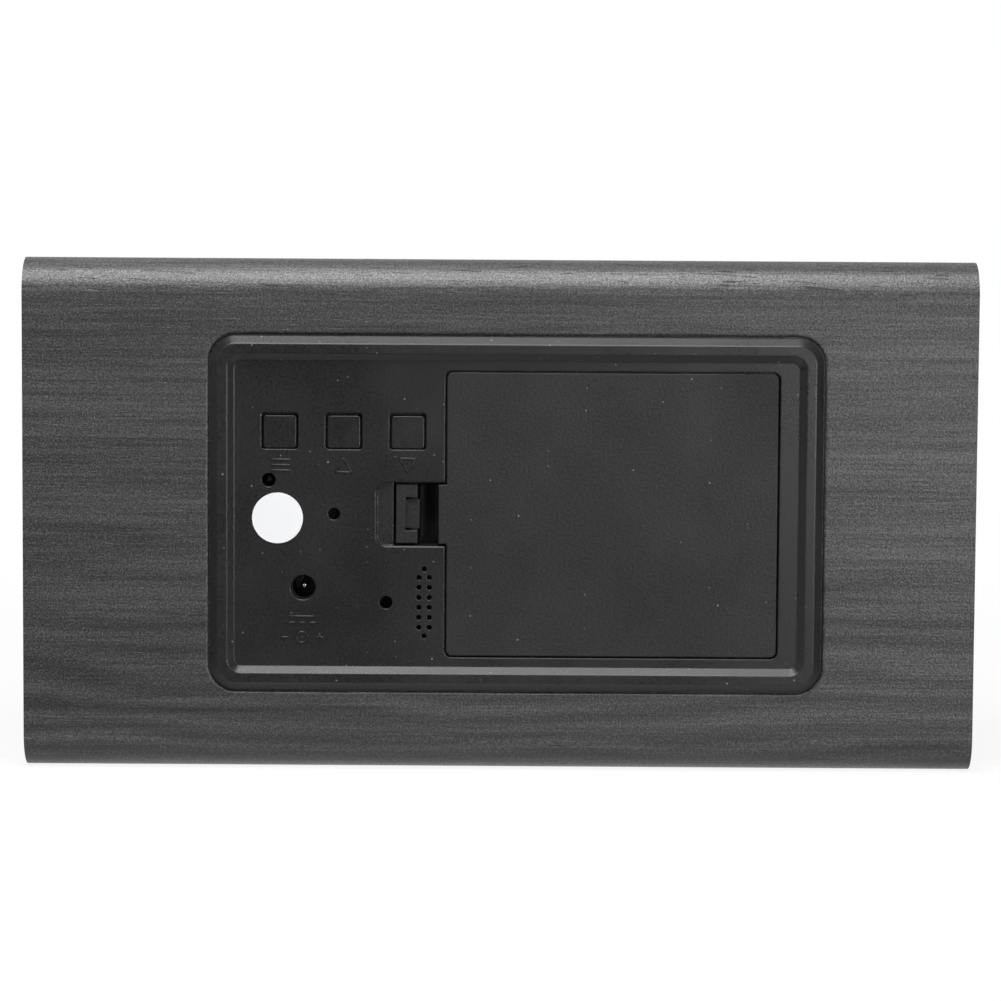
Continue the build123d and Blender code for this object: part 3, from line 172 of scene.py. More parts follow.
def wood_film():
    """Satin film with each layer of the grain added to its tone by weight."""
    material, tree, shader, coords = new_finish("dark_wood_film")
    sideways, _, upward = add(tree, "SeparateXYZ", [add(tree, "TexCoord").outputs["Normal"]]).outputs
    grain = grain_direction(tree, coords, sideways)
    bands = grains(tree, grain, BAND_LENGTH, BAND_WIDTH, 2.0)
    streaks = grains(tree, grain, STREAK_LENGTH, STREAK_WIDTH, 3.0)
    fibres = grains(tree, grain, FIBRE_LENGTH, FIBRE_WIDTH, 2.0)
    speckle = grains(tree, grain, SPECKLE, SPECKLE, 1.0)
    pores = pores_shaded_on_rounds(tree, grain, upward)
    # Rings, which also darken the base as painted shade
    rings = wandering_rings_and_base_shade(tree, grain)

    layers = {bands: BAND_WEIGHT, streaks: STREAK_WEIGHT, fibres: FIBRE_WEIGHT, speckle: SPECKLE_WEIGHT}
    tone = add(tree, "Math", [rings, RING_WEIGHT], operation="MULTIPLY").outputs[0]
    for layer, weight in layers.items():
        tone = add(tree, "Math", [layer, weight, tone], operation="MULTIPLY_ADD").outputs[0]
    shade = add(tree, "MapRange", [tone, *WOOD_TONES, 0.0, 1.0]).outputs[0]
    # The curve makes light grains rare and bright in the colour: partly grain tone, partly a painted glint
    shade = add(tree, "Math", [shade, TONE_CURVE_AND_PAINTED_GLINT], operation="POWER").outputs[0]
    tones = {0: shade, 6: linear(WOOD_DARK), 7: linear(WOOD_LIGHT)}
    colour = add(tree, "Mix", tones, data_type="RGBA").outputs[2]
    # The pores' dark colour is real pore tone, and on the rounded edges mostly painted shade
    colour = add(tree, "Mix", {0: pores, 6: colour, 7: linear(PORE_DARK_AND_SHADE)}, data_type="RGBA").outputs[2]
    tree.links.new(colour, shader.inputs["Base Color"])
    roughness = add(tree, "MapRange", [speckle, *GLINT_RANGE, *GLINT_ROUGHNESS]).outputs[0]
    tree.links.new(roughness, shader.inputs["Roughness"])
    shader.inputs["IOR"].default_value = FILM_IOR

    height = add(tree, "Math", [pores, -PORE_DEPTH, fibres], operation="MULTIPLY_ADD").outputs[0]
    height = add(tree, "Math", [speckle, SPECKLE_HEIGHT, height], operation="MULTIPLY_ADD").outputs[0]
    bump = add(tree, "Bump", {"Strength": FILM_BUMP, "Distance": FILM_DEPTH * MM, "Height": height})
    tree.links.new(bump.outputs[0], shader.inputs["Normal"])
    return material


WOOD_FILM = wood_film()
print("made", WOOD_FILM.name)

# %% [markdown]
# ## Moulded plastics
#
# The panel and buttons are black ABS from a polished but worn mould: a satin skin that is a little
# uneven, with some dust on it. The door came from a spark-eroded mould, so it is rougher and looks
# lighter. Each could have its own tree, but they differ only in numbers, so one function makes them all
# from a dark and a light tone, a roughness, and the size and depth of the skin's texture in millimetres.
# Spark texture is about a tenth of a millimetre, and it is drawn at four tenths, so that it shows. A mould
# leaves its edges slightly round, so the normals are bent there, and an edge catches a thin line of light.

# %% Moulded ABS
CLOUD_SIZE, SKIN_WEIGHT, SKIN_TONES, SKIN_BUMP = 14.0, 1.2, (0.8, 1.4), 0.4
DUST_SPACING, DUST_REACH, DUST_GREY = 1.5, (0.05, 0.12), "#8c8c8c"
EDGE_SAMPLES = 6


def moulded(name, dark, light, rough, texture, depth, dust=0.0, edge=0.0, polish=0.08):
    """A moulded plastic. Its light spots are glossier by polish, or duller where that is negative."""
    material, tree, shader, coords = new_finish(name)
    cloud = grains(tree, coords, CLOUD_SIZE, CLOUD_SIZE, 3.0)
    skin = grains(tree, coords, texture, texture, 2.0)
    tone = add(tree, "Math", [skin, SKIN_WEIGHT, cloud], operation="MULTIPLY_ADD").outputs[0]
    shade = add(tree, "MapRange", [tone, *SKIN_TONES, 0.0, 1.0]).outputs[0]
    colour = add(tree, "Mix", {0: shade, 6: linear(dark), 7: linear(light)}, data_type="RGBA").outputs[2]
    if dust:
        scale = 1 / (DUST_SPACING * MM)
        specks = add(tree, "TexVoronoi", {"Vector": coords, "Scale": scale, "Randomness": 1.0})
        near = add(tree, "MapRange", [specks.outputs["Distance"], *DUST_REACH, 1.0, 0.0]).outputs[0]
        chosen = add(tree, "SeparateColor", [specks.outputs["Color"]]).outputs[0]
        few = add(tree, "MapRange", [chosen, 1.0 - dust, 1.0, 0.0, 1.0]).outputs[0]
        speck = add(tree, "Math", [near, few], operation="MULTIPLY").outputs[0]
        colour = add(tree, "Mix", {0: speck, 6: colour, 7: linear(DUST_GREY)}, data_type="RGBA").outputs[2]
    tree.links.new(colour, shader.inputs["Base Color"])
    roughness = add(tree, "MapRange", [tone, *SKIN_TONES, rough + polish, rough - polish]).outputs[0]
    tree.links.new(roughness, shader.inputs["Roughness"])
    bump = add(tree, "Bump", {"Strength": SKIN_BUMP, "Distance": depth * MM, "Height": skin})
    if edge:
        rounded = add(tree, "Bevel", {"Radius": edge * MM}, samples=EDGE_SAMPLES)
        tree.links.new(rounded.outputs[0], bump.inputs["Normal"])
    tree.links.new(bump.outputs[0], shader.inputs["Normal"])
    return material


PANEL_ABS = moulded("satin_black_abs", "#161617", "#252526", rough=0.32, texture=0.4, depth=0.02,
                    dust=0.3, edge=0.3, polish=-0.05)
DOOR_ABS = moulded("spark_textured_abs", "#0a0a0b", "#262627", rough=0.5, texture=0.4, depth=0.14,
                   dust=0.15, edge=0.1)
BUTTON_ABS = moulded("button_abs", "#111112", "#1f1f20", rough=0.34, texture=0.4, depth=0.02,
                     edge=0.1, polish=-0.05)
print("made", PANEL_ABS.name, DOOR_ABS.name, BUTTON_ABS.name)

# %% [markdown]
# ## Metals, paper and the parts inside
#
# The socket's pin, the battery contacts and the screws are plated steel: metallic, with fine draw marks
# that stretch each glint. The boards, chips and wiring sit in the closed case, so a plain finish of their
# material would do. They get the moulded skin too, because flat colours look false when the door is open.

# %% Plated metals
DRAW_RANGE, DRAW_ROUGHNESS, DRAW_LIGHT = (0.3, 0.7), 0.06, "#f2f1ec"


def plated(name, colour, rough, length, width):
    """A plated metal with fine marks of a length and width along one direction."""
    material, tree, shader, coords = new_finish(name)
    drawn = grains(tree, coords, length, width, 2.0)
    tones = {0: drawn, 6: linear(colour), 7: linear(DRAW_LIGHT)}
    tree.links.new(add(tree, "Mix", tones, data_type="RGBA").outputs[2], shader.inputs["Base Color"])
    marked = [drawn, *DRAW_RANGE, rough - DRAW_ROUGHNESS, rough + DRAW_ROUGHNESS]
    tree.links.new(add(tree, "MapRange", marked).outputs[0], shader.inputs["Roughness"])
    shader.inputs["Metallic"].default_value = 1.0
    return material


# Nickel is warm and bright, zinc is bluish and duller, and a drawn can lies between them
NICKEL = plated("bright_nickel", "#c9c7c0", rough=0.22, length=3.0, width=0.2)
ZINC = plated("zinc_plate", "#b4b6b8", rough=0.34, length=0.6, width=0.6)
CAN_STEEL = plated("drawn_can", "#c4c5c6", rough=0.28, length=5.0, width=0.25)
print("made", NICKEL.name, ZINC.name, CAN_STEEL.name)

# %% Paper and the parts inside
# Paper is white and matt, felt and raw fibreboard are rough and soak up light
PAPER = moulded("sticker_paper", "#f4f5f7", "#fafbfc", rough=0.62, texture=0.12, depth=0.004)
FELT = moulded("microphone_felt", "#101011", "#1a1a1b", rough=0.9, texture=0.15, depth=0.05)
FIBREBOARD = moulded("raw_fibreboard", "#8f7454", "#a98c68", rough=0.85, texture=0.5, depth=0.06)
# Housings are black and satin, and the plungers in them are grey
SOCKET_BLACK = moulded("socket_housing", "#0d0d0e", "#141415", rough=0.35, texture=0.4, depth=0.01)
SWITCH_BLACK = moulded("switch_housing", "#151516", "#1d1d1e", rough=0.5, texture=0.3, depth=0.01)
PLUNGER_GREY = moulded("switch_plunger", "#7a7872", "#8a8882", rough=0.4, texture=0.3, depth=0.01)
# Solder mask and cast resins shine, and a chip's filled epoxy is matt
SOLDER_MASK = moulded("green_solder_mask", "#14522c", "#1b6638", rough=0.3, texture=1.2, depth=0.01)
EPOXY = moulded("chip_epoxy", "#1a1a1b", "#232324", rough=0.6, texture=0.15, depth=0.01)
BEAD_EPOXY = moulded("bead_epoxy", "#3a2a1e", "#4a3626", rough=0.2, texture=0.8, depth=0.01)
LED_RESIN = moulded("led_resin", "#e8d98e", "#f2e6a8", rough=0.2, texture=0.5, depth=0.01)
# The light guide is matt white, its diffuser milky, and nylon plugs are cream
GUIDE_WHITE = moulded("white_guide_plastic", "#e2e2de", "#ececea", rough=0.55, texture=0.4, depth=0.01)
DIFFUSER = moulded("milky_diffuser", "#e4e4e2", "#eeeeec", rough=0.35, texture=0.6, depth=0.01)
CONNECTOR = moulded("connector_nylon", "#d8d2c0", "#e4dfd0", rough=0.45, texture=0.4, depth=0.01)
# Extruded sleeves of wires are satin
RIBBON = moulded("ribbon_sleeve", "#8c8c8e", "#9a9a9c", rough=0.45, texture=0.5, depth=0.01)
SLEEVE_RED = moulded("red_sleeve", "#a01c14", "#b4281e", rough=0.4, texture=0.4, depth=0.01)
SLEEVE_BLACK = moulded("black_sleeve", "#141415", "#1c1c1d", rough=0.4, texture=0.4, depth=0.01)
print("finishes so far", len(bpy.data.materials))

# %% Give each solid its finish
FINISHES = {
    WOOD_FILM: ["wood_case", "front_veneer", "left_end_veneer", "right_end_veneer"],
    FIBREBOARD: ["left_end_panel", "right_end_panel"],
    PANEL_ABS: ["rear_panel"],
    DOOR_ABS: ["battery_door", "door_latch"],
    BUTTON_ABS: ["set_button", "up_button", "down_button"],
    PLUNGER_GREY: ["set_switch_plunger", "up_switch_plunger", "down_switch_plunger"],
    SWITCH_BLACK: ["button_switch_bodies", "reset_switch_body", "buzzer"],
    NICKEL: ["dc_jack_pin", "contact_plates", "contact_springs"],
    SOCKET_BLACK: ["dc_jack_housing", "reset_plunger"],
    ZINC: ["board_screws", "display_screws"],
    CAN_STEEL: ["quartz_crystal", "aaa_cells"],
    FELT: ["microphone"],
    BEAD_EPOXY: ["temperature_sensor"],
    PAPER: ["blank_sticker"],
    SOLDER_MASK: ["control_board", "display_board"],
    SLEEVE_RED: ["plus_lead"],
    SLEEVE_BLACK: ["minus_lead"],
    GUIDE_WHITE: ["light_guide_frame"],
    DIFFUSER: ["diffuser_sheet"],
    LED_RESIN: ["led_chips"],
    EPOXY: ["clock_chip"],
    CONNECTOR: ["ribbon_connectors"],
    RIBBON: ["ribbon_cable"],
}
for finish, nodes in FINISHES.items():
    for node in nodes:
        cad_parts[node].material_slots[0].material = finish
bare = set(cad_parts) - {n for nodes in FINISHES.values() for n in nodes}
print(len(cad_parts), "solids, without a finish:", sorted(bare))

# %% [markdown]
# ## Raised marks on the panel
#
# The mould leaves faint marks under the buttons and the socket, about a seventh of a millimetre proud:
# a list for the settings, arrows for up and down, and the usual signs for a direct-current socket and its
# polarity. They could be a bump in the panel's finish, but a real edge catches light from every side and
# stays in the mesh. Each line is a thin bar whose edges are rounded, as a mould leaves them.

# %% Modelling helpers
SMOOTH_ANGLE = math.radians(35)


def start_piece():
    """Nothing is selected, so that the next piece is made alone."""
    bpy.ops.object.select_all(action="DESELECT")


def round_edges(piece, width, segments=2):
    """Rounds all the sharp edges of a piece."""
    bevel = piece.modifiers.new("rounding", "BEVEL")
    bevel.width = width * MM
    bevel.segments = segments
    bevel.limit_method = "ANGLE"
    bpy.context.view_layer.objects.active = piece
    bpy.ops.object.modifier_apply(modifier=bevel.name)


def settle(piece, name):
    """Writes a piece's place into its mesh and smooths its rounded faces."""
    start_piece()
    piece.select_set(True)
    bpy.context.view_layer.objects.active = piece
    bpy.ops.object.transform_apply(location=True, rotation=True, scale=True)
    bpy.ops.object.shade_smooth_by_angle(angle=SMOOTH_ANGLE)
    piece.name = name
    piece.data.name = name


def join(pieces, name):
    """Makes one piece of several."""
    start_piece()
    for piece in pieces:
        piece.select_set(True)
    bpy.context.view_layer.objects.active = pieces[0]
    bpy.ops.object.join()
    settle(pieces[0], name)
    return pieces[0]


print("modelling helpers ready")

# %% Raised lines, circles and arrows
FIELD_Y = 19.6
LINE_WIDTH, LINE_HEIGHT, LINE_SINK, LINE_ROUNDING = 0.34, 0.16, 0.02, 0.06
CIRCLE_STEPS, TUBE_STEPS = 32, 8


def bar(x, z, length, turn=0.0):
    """A raised line on the panel, turned about its middle by so many degrees."""
    start_piece()
    place = Vector((x, FIELD_Y + LINE_HEIGHT / 2 - LINE_SINK, z)) * MM
    size = Vector((length, LINE_HEIGHT, LINE_WIDTH)) * MM
    tilt = (0, math.radians(turn), 0)
    bpy.ops.mesh.primitive_cube_add(size=1.0, location=place, rotation=tilt, scale=size)
    line = bpy.context.object
    bpy.ops.object.transform_apply(location=False, rotation=False, scale=True)
    round_edges(line, LINE_ROUNDING)
    return line


def ring(x, z, radius):
    """A raised circle on the panel, flattened to the height of a line."""
    start_piece()
    bpy.ops.mesh.primitive_torus_add(
        location=Vector((x, FIELD_Y, z)) * MM, rotation=(math.radians(90), 0, 0),
        major_segments=CIRCLE_STEPS, minor_segments=TUBE_STEPS,
        major_radius=radius * MM, minor_radius=LINE_WIDTH / 2 * MM)
    circle = bpy.context.object
    circle.scale.z = LINE_HEIGHT / LINE_WIDTH * 2
    return circle


def arrow(x, z, side, up):
    """A raised triangle that points up or down."""
    height = side * math.sqrt(3) / 2
    edge = z - up * height / 2
    lean = side / 4
    return [bar(x, edge, side), bar(x - lean, z, side, -60 * up), bar(x + lean, z, side, 60 * up)]


print("raised lines stand", round(LINE_HEIGHT - LINE_SINK, 2), "mm proud")

# %% Raised marks
BUTTON_MARK_Z, SOCKET_MARK_Z, POLARITY_MARK_Z = 48.35, 23.97, 21.14
SET_X, UP_X, DOWN_X, SOCKET_X = 34.4, 24.5, 14.4, 31.0
LIST_LINE, LIST_STEP, ARROW_SIDE = 3.2, 0.85, 2.5
LONG_LINE, LONG_RISE, DASH, DASH_STEP = 4.4, 0.5, 1.1, 1.65
SIGN_LINE, SIGN_STEP, SIGN_RADIUS, DOT = 1.3, 2.75, 0.85, 0.4

marks = [bar(SET_X, BUTTON_MARK_Z + step, LIST_LINE) for step in (-LIST_STEP, 0.0, LIST_STEP)]
marks += arrow(UP_X, BUTTON_MARK_Z, ARROW_SIDE, 1)
marks += arrow(DOWN_X, BUTTON_MARK_Z, ARROW_SIDE, -1)
marks += [bar(SOCKET_X, SOCKET_MARK_Z + LONG_RISE, LONG_LINE)]
marks += [bar(SOCKET_X + step, SOCKET_MARK_Z - LONG_RISE, DASH) for step in (-DASH_STEP, 0.0, DASH_STEP)]
marks += [bar(SOCKET_X + SIGN_STEP, POLARITY_MARK_Z, SIGN_LINE)]
marks += [ring(SOCKET_X, POLARITY_MARK_Z, SIGN_RADIUS), bar(SOCKET_X, POLARITY_MARK_Z, DOT)]
marks += [bar(SOCKET_X - SIGN_STEP, POLARITY_MARK_Z, SIGN_LINE, turn) for turn in (0, 90)]
print(len(marks), "raised lines")
raised_marks = join(marks, "raised_marks")
raised_marks.data.materials.append(PANEL_ABS)
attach(raised_marks, "case")

# %% [markdown]
# ## The lit time
#
# On the front there is no window: bars of light shine through the thin film from the boxes behind it, and
# the film's fibres show in them. Glowing solids behind the film would need a film that lets light through,
# which renders slowly, so each bar is a six-sided patch just proud of it. Its inner face is bright and its
# border fades, because light spreads in the film. The time is a made-up one.

# %% Light through the film
FRONT_Y = -20.6
PATCH_PROUD, PATCH_BORDER, PATCH_THICKNESS, BORDER_GLOW = 0.01, 0.45, 0.05, 0.25
GLOW_FIBRES, GLOW_SHARES = (0.2, 0.8), (0.75, 1.1)
LIT_FILM, WARM_WHITE, LIT_ROUGHNESS = "#4a4a4a", "#fff6ec", 0.45
DISPLAY_Z = 40.35


def glow_film():
    """Warm white light in the film, weaker at a patch's border and streaked by the fibres."""
    material, tree, shader, coords = new_finish("glowing_film")
    glow = add(tree, "Attribute", attribute_name="glow").outputs["Fac"]
    fibres = grains(tree, coords, FIBRE_LENGTH, FIBRE_WIDTH, 2.0)
    share = add(tree, "MapRange", [fibres, *GLOW_FIBRES, *GLOW_SHARES]).outputs[0]
    strength = add(tree, "Math", [glow, share], operation="MULTIPLY").outputs[0]
    tree.links.new(strength, shader.inputs["Emission Strength"])
    shader.inputs["Base Color"].default_value = linear(LIT_FILM)
    shader.inputs["Emission Color"].default_value = linear(WARM_WHITE)
    shader.inputs["Roughness"].default_value = LIT_ROUGHNESS
    return material


def patch(x, z, corners, size, turn, straight):
    """A thin patch of light with a bright middle and a dim border."""
    start_piece()
    place = Vector((x, FRONT_Y - PATCH_PROUD, DISPLAY_Z + z)) * MM
    bpy.ops.mesh.primitive_circle_add(vertices=corners, radius=1.0, fill_type="NGON", location=place)
    piece = bpy.context.object
    bpy.ops.object.mode_set(mode="EDIT")
    bpy.ops.transform.resize(value=(size[0] / 2 * MM, size[1] / 2 * MM, 1.0))
    if straight:
        # The four side corners go out to the ends, where the bar starts to narrow
        bpy.ops.object.mode_set(mode="OBJECT")
        for corner in piece.data.vertices:
            if abs(corner.co.y) > 1e-6:
                corner.co.x = math.copysign((size[0] - size[1]) / 2 * MM, corner.co.x)
                corner.co.y = math.copysign(size[1] / 2 * MM, corner.co.y)
        bpy.ops.object.mode_set(mode="EDIT")
    bpy.ops.mesh.select_all(action="SELECT")
    bpy.ops.mesh.inset(thickness=PATCH_BORDER * MM, depth=0.0)
    bpy.ops.object.mode_set(mode="OBJECT")
    faces = [f for f in piece.data.polygons if f.select and len(f.vertices) == corners]
    inner = {index for face in faces for index in face.vertices}
    glow = piece.data.attributes.new("glow", "FLOAT", "POINT")
    for corner in piece.data.vertices:
        glow.data[corner.index].value = 1.0 if corner.index in inner else BORDER_GLOW
    thick = piece.modifiers.new("thickness", "SOLIDIFY")
    thick.thickness = PATCH_THICKNESS * MM
    thick.offset = -1.0
    bpy.ops.object.modifier_apply(modifier=thick.name)
    piece.rotation_euler = (math.radians(90), math.radians(turn), 0)
    return piece


GLOW_FILM = glow_film()
print("made", GLOW_FILM.name)

# %% Digits and colon
SHOWN_TIME = "1008"
LIT_BARS = {"0": "abcdef", "1": "bc", "8": "abcdefg"}
DIGIT_X, DIGIT_SIZE, STROKE, BAR_GAP = (-37.0, -14.0, 14.0, 37.0), (17.0, 30.0), 3.2, 1.0
COLON_DROP, COLON_RADIUS, COLON_CORNERS = 5.0, 2.0, 24
half_w, half_h = (DIGIT_SIZE[0] - STROKE) / 2, (DIGIT_SIZE[1] - STROKE) / 2
FLAT_BAR, UPRIGHT_BAR = 2 * half_w - BAR_GAP, half_h - BAR_GAP
BAR_PLACES = {
    "a": (0, half_h, FLAT_BAR, 0), "g": (0, 0, FLAT_BAR, 0), "d": (0, -half_h, FLAT_BAR, 0),
    "b": (half_w, half_h / 2, UPRIGHT_BAR, 90), "c": (half_w, -half_h / 2, UPRIGHT_BAR, 90),
    "f": (-half_w, half_h / 2, UPRIGHT_BAR, 90), "e": (-half_w, -half_h / 2, UPRIGHT_BAR, 90),
}

patches = []
for digit, centre in zip(SHOWN_TIME, DIGIT_X):
    for name in LIT_BARS[digit]:
        x, z, length, turn = BAR_PLACES[name]
        patches.append(patch(centre + x, z, 6, (length, STROKE), turn, True))
for step in (-COLON_DROP, COLON_DROP):
    patches.append(patch(0, step, COLON_CORNERS, (2 * COLON_RADIUS, 2 * COLON_RADIUS), 0, False))
print(len(patches), "patches of light")
lit_time = join(patches, "lit_time")
lit_time.data.materials.clear()
lit_time.data.materials.append(GLOW_FILM)
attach(lit_time, "case")

# %% [markdown]
# ## Cells and springs in the bay
#
# Behind the door lie four AAA cells, each in a printed jacket that is rolled in at both ends, with a
# raised nub on a sunk plate at one end. A lathe profile would also do, but drawing a cylinder out band by
# band, and pushing in its inset ends, keeps the faces of each band apart for its colour. A cell is made
# once and copied, and every other one is turned end for end. The coils that press on the cells are drawn
# as a wire along a narrowing helix.

# %% One cell
CELL_RADIUS, CELL_LENGTH, NUB_RADIUS, NUB_HEIGHT = 5.2, 44.5, 1.9, 0.8
BLUE_SHARE, PALE_SHARE = 0.7, 0.04
RIM, NUB_END_DEPTH, FLAT_END_DEPTH, CELL_ROUNDING = 0.5, 0.35, 0.2, 0.18
METAL_RADIUS = CELL_RADIUS - 0.45
CELL_SIDES, END_FACING = 48, 0.9
JACKET_BLUE = moulded("printed_jacket_blue", "#1d4f86", "#235a94", rough=0.3, texture=0.6, depth=0.004)
JACKET_PALE = moulded("printed_jacket_pale", "#c9cdd2", "#d5d9dd", rough=0.3, texture=0.6, depth=0.004)


def pick_faces(piece, wanted):
    """Leaves a piece in edit mode with the wanted faces selected."""
    bpy.ops.object.mode_set(mode="EDIT")
    bpy.ops.mesh.select_mode(type="FACE")
    bpy.ops.mesh.select_all(action="DESELECT")
    bpy.ops.object.mode_set(mode="OBJECT")
    for face in piece.data.polygons:
        face.select = wanted(face)
    bpy.ops.object.mode_set(mode="EDIT")


def draw_out(distance):
    """Draws the selected end out, or pushes it in, along the cell."""
    bpy.ops.mesh.extrude_region_move(TRANSFORM_OT_translate={"value": (distance * MM, 0, 0)})


def make_cell():
    """A cell along X with its nub at the high end and its middle at the origin."""
    start_piece()
    body = CELL_LENGTH - NUB_HEIGHT
    blue, pale = BLUE_SHARE * body, PALE_SHARE * body
    bpy.ops.mesh.primitive_cylinder_add(
        vertices=CELL_SIDES, radius=CELL_RADIUS * MM, depth=blue * MM, rotation=(0, math.radians(90), 0),
        location=((blue - CELL_LENGTH) / 2 * MM, 0, 0))
    cell = bpy.context.object
    bpy.ops.object.transform_apply(location=True, rotation=True, scale=True)
    pick_faces(cell, lambda face: face.normal.x > END_FACING)
    draw_out(pale)
    draw_out(body - blue - pale)
    bpy.ops.mesh.inset(thickness=RIM * MM)
    draw_out(-NUB_END_DEPTH)
    bpy.ops.mesh.inset(thickness=(CELL_RADIUS - RIM - NUB_RADIUS) * MM)
    draw_out(NUB_HEIGHT + NUB_END_DEPTH)
    pick_faces(cell, lambda face: face.normal.x < -END_FACING)
    bpy.ops.mesh.inset(thickness=RIM * MM)
    draw_out(FLAT_END_DEPTH)
    bpy.ops.object.mode_set(mode="OBJECT")
    round_edges(cell, CELL_ROUNDING, 3)
    for finish in (JACKET_BLUE, JACKET_PALE, CAN_STEEL):
        cell.data.materials.append(finish)
    band = -CELL_LENGTH / 2 + blue
    for face in cell.data.polygons:
        middle = face.center / MM
        if math.hypot(middle.y, middle.z) < METAL_RADIUS:
            face.material_index = 2
        elif band < middle.x < band + pale:
            face.material_index = 1
    settle(cell, "cell_1")
    return cell


first_cell = make_cell()
print(first_cell.name, len(first_cell.data.polygons), "faces")

# %% Four cells in the bay
CELL_Y, CELL_ZS = 12.2, (24.8, 35.4, 46.0, 56.6)
BAY_LOW, BAY_HIGH, COIL_SPACE = -42.275, 6.825, 4.6

cells = [first_cell]
for _ in CELL_ZS[1:]:
    cell = first_cell.copy()
    cell.data = first_cell.data.copy()
    bpy.context.scene.collection.objects.link(cell)
    cells.append(cell)
for index, cell in enumerate(cells):
    turned = index % 2
    coil_side = COIL_SPACE if not turned else -COIL_SPACE
    cell.location = Vector(((BAY_LOW + BAY_HIGH + coil_side) / 2, CELL_Y, CELL_ZS[index])) * MM
    cell.rotation_euler.z = math.pi * turned
    settle(cell, f"cell_{index + 1}")
    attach(cell, "case")
    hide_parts("aaa_cells")
print("cells", [cell.name for cell in cells])

# %% The coils
WIRE, TURNS, COIL_WIDE, COIL_NARROW, COIL_GAP = 0.7, 3.5, 3.4, 2.1, 0.06
STEPS_PER_TURN, WIRE_STEPS = 40, 4


def make_coil(name, start, direction, z):
    """A wire along a helix that narrows towards the cell."""
    count = int(TURNS * STEPS_PER_TURN) + 1
    curve = bpy.data.curves.new(name, "CURVE")
    curve.dimensions = "3D"
    curve.bevel_depth = WIRE / 2 * MM
    curve.bevel_resolution = WIRE_STEPS
    curve.use_fill_caps = True
    line = curve.splines.new("POLY")
    line.points.add(count - 1)
    for step, point in enumerate(line.points):
        share = step / (count - 1)
        angle = 2 * math.pi * TURNS * share
        radius = COIL_WIDE + (COIL_NARROW - COIL_WIDE) * share
        along = COIL_GAP + WIRE / 2 + (COIL_SPACE - 2 * COIL_GAP - WIRE) * share
        y, height = CELL_Y + radius * math.cos(angle), z + radius * math.sin(angle)
        point.co = (*(Vector((start + direction * along, y, height)) * MM), 1.0)
    coil = bpy.data.objects.new(name, curve)
    bpy.context.scene.collection.objects.link(coil)
    start_piece()
    coil.select_set(True)
    bpy.context.view_layer.objects.active = coil
    bpy.ops.object.convert(target="MESH")
    settle(coil, name)
    coil.data.materials.append(NICKEL)
    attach(coil, "case")
    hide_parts("contact_springs")
    return coil


for index, z in enumerate(CELL_ZS):
    start, direction = ((BAY_LOW, 1), (BAY_HIGH, -1))[index % 2]
    coil = make_coil(f"coil_{index + 1}", start, direction, z)
    print(coil.name, len(coil.data.polygons), "faces")

# %% [markdown]
# ## White surroundings
#
# The clock stands on a plain white sweep. A floor that is white to every ray would throw too much light
# back at the dark case, so the paper is white to the camera, with a soft shadow near the clock, and grey
# to the light that bounces off it. In reflections only the paper close to the clock and the backdrop
# behind it are white. The rest of the room is dim there, as in a studio with dark cloths about.

# %% Paper floor
PAPER_STRETCH, FLOOR_SIZE = (0.4, 1.0, 1.0), 12.0
SHADOW_REACH, SHADOW_WHITE = (0.05, 0.3), (0.88, 1.0)
PAPER_REACH, PAPER_MIRRORED = (0.028, 0.07), (0.95, 0.05)
PAPER_BOUNCE, PAPER_WHITE, PURE_WHITE = "#6a6a6a", "#f6f6f6", "#ffffff"


def white_when_seen(tree, seen, mirrored):
    """How much of a surface is drawn as plain white to the camera, and how much in reflections."""
    path = add(tree, "LightPath").outputs
    rays = [path["Is Glossy Ray"], path["Is Transmission Ray"]]
    reflected = add(tree, "Math", rays, operation="MAXIMUM").outputs[0]
    share = add(tree, "Math", [reflected, mirrored], operation="MULTIPLY").outputs[0]
    return add(tree, "Math", [path["Is Camera Ray"], seen, share], operation="MULTIPLY_ADD").outputs[0]


def floor_paper():
    """White paper that keeps a soft shadow. Past its reach, the floor is dim in reflections."""
    material = bpy.data.materials.new("floor_paper")
    material.use_nodes = True
    tree = material.node_tree
    tree.nodes.clear()
    place = add(tree, "TexCoord").outputs["Object"]
    place = add(tree, "Mapping", {"Vector": place, "Scale": PAPER_STRETCH}).outputs[0]
    reach = add(tree, "VectorMath", [place], operation="LENGTH").outputs["Value"]
    seen = add(tree, "MapRange", [reach, *SHADOW_REACH, *SHADOW_WHITE]).outputs[0]
    mirrored = add(tree, "MapRange", [reach, *PAPER_REACH, *PAPER_MIRRORED]).outputs[0]
    in_view = add(tree, "LightPath").outputs["Is Camera Ray"]
    tones = {0: in_view, 6: linear(PAPER_BOUNCE), 7: linear(PAPER_WHITE)}
    matt = add(tree, "BsdfDiffuse", {"Color": add(tree, "Mix", tones, data_type="RGBA").outputs[2]})
    glow = add(tree, "Emission", {"Color": linear(PURE_WHITE), "Strength": 1.0})
    share = white_when_seen(tree, seen, mirrored)
    both = add(tree, "MixShader", [share, matt.outputs[0], glow.outputs[0]])
    add(tree, "OutputMaterial", {"Surface": both.outputs[0]})
    return material


start_piece()
bpy.ops.mesh.primitive_plane_add(size=FLOOR_SIZE, location=(0, 0, 0))
floor = bpy.context.object
floor.name = "floor"
floor.data.materials.append(floor_paper())
print("made", floor.name)

# %% Room
ROOM_STRENGTH, ROOM_MIRRORED, BACKDROP_MIRRORED = 0.2, 0.05, 0.6
BACKDROP_HEADING = (-0.5, 0.0)

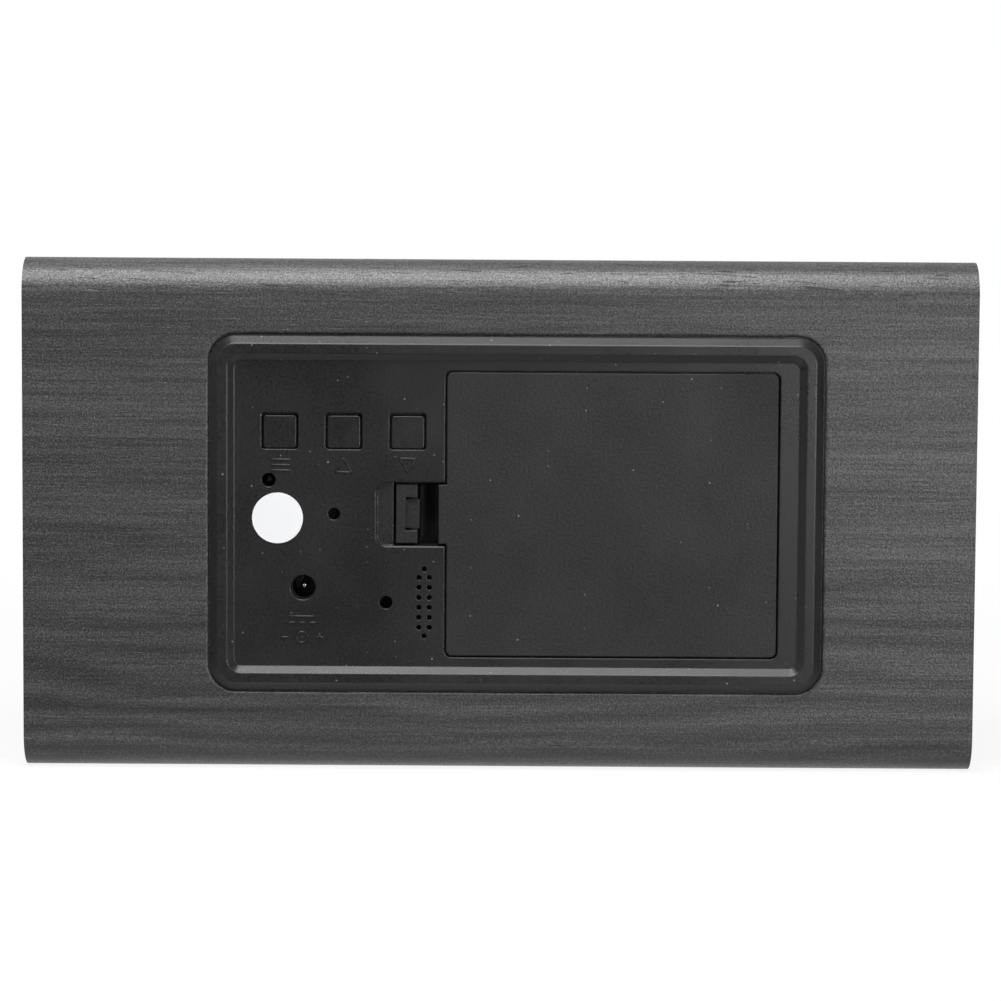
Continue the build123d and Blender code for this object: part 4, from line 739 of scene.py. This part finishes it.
world = bpy.data.worlds.new("room")
world.use_nodes = True
tree = world.node_tree
room = tree.nodes["Background"]
room.inputs["Color"].default_value = linear(PURE_WHITE)
heading = add(tree, "SeparateXYZ", [add(tree, "TexCoord").outputs["Generated"]]).outputs[1]
mirrored = add(tree, "MapRange", [heading, *BACKDROP_HEADING, BACKDROP_MIRRORED, ROOM_MIRRORED]).outputs[0]
share = white_when_seen(tree, 1.0, mirrored)
strength = add(tree, "MapRange", [share, 0.0, 1.0, ROOM_STRENGTH, 1.0]).outputs[0]
tree.links.new(strength, room.inputs["Strength"])
bpy.context.scene.world = world
bpy.context.scene.view_settings.view_transform = "Standard"
print("made", world.name)

# %% [markdown]
# ## Light
#
# A large softbox hangs close above the rear of the clock, which is why the slopes that face up are the
# brightest. One lamp would leave the panel flat, so four small ones shape it. A low one by the camera
# makes the panel lighter towards the right of the picture, and one further round draws thin lines on the
# edges there. Two dim ones on the left keep that side from going black.

# %% Softboxes
def softbox(name, place, aim, size, power):
    """A rectangular lamp that faces a point."""
    lamp = bpy.data.lights.new(name, "AREA")
    lamp.shape = "RECTANGLE"
    lamp.size, lamp.size_y = size
    lamp.energy = power
    holder = bpy.data.objects.new(name, lamp)
    bpy.context.scene.collection.objects.link(holder)
    holder.location = place
    holder.rotation_euler = (Vector(aim) - Vector(place)).to_track_quat("-Z", "Y").to_euler()
    print(name, power, "W")


softbox("overhead_box", place=(0.03, 0.26, 0.475), aim=(0, 0.02, 0.07), size=(0.36, 0.41), power=3.35)
softbox("right_box", place=(-0.185, 0.56, 0.05), aim=(0, 0.02, 0.05), size=(0.1, 0.08), power=0.31)
softbox("side_box", place=(-0.45, 0.4, 0.07), aim=(0, 0.02, 0.04), size=(0.16, 0.12), power=0.8)
softbox("left_box", place=(0.5, 1.1, 0.14), aim=(0, 0.02, 0.04), size=(0.2, 0.28), power=0.35)
softbox("left_wall", place=(0.6, 0.03, 0.1), aim=(0, 0.02, 0.04), size=(0.4, 0.4), power=0.2)

# %% [markdown]
# ## Camera
#
# The camera looks at the rear from half a metre, from about the height of the case's top, with a long
# lens. Its angles could be set by eye, but here they are fitted to points on the clock's edges, in
# radians, and the lens comes from a focal length in pixels of the picture.

# %% Camera
CAMERA_PLACE = Vector((-0.38, 520.0, 80.2)) * MM
CAMERA_YAW, CAMERA_PITCH, CAMERA_ROLL = 0.0004, 0.0743, 0.0063
FOCAL_PIXELS, IMAGE_WIDTH, SENSOR_WIDTH = 3192.5, 1001, 36.0

forward = Vector((math.sin(CAMERA_YAW), -math.cos(CAMERA_YAW), 0)) * math.cos(CAMERA_PITCH)
forward.z = -math.sin(CAMERA_PITCH)
level = forward.cross(Vector((0, 0, 1))).normalized()
upward = level.cross(forward)
right = level * math.cos(CAMERA_ROLL) + upward * math.sin(CAMERA_ROLL)
upward = right.cross(forward)
turn = Matrix((right, upward, -forward)).transposed().to_4x4()
camera = bpy.data.objects.new("camera", bpy.data.cameras.new("camera"))
bpy.context.scene.collection.objects.link(camera)
camera.matrix_world = Matrix.Translation(CAMERA_PLACE) @ turn
camera.data.sensor_width = SENSOR_WIDTH
camera.data.lens = FOCAL_PIXELS * SENSOR_WIDTH / IMAGE_WIDTH
bpy.context.scene.camera = camera
print("lens", round(camera.data.lens, 1), "mm")
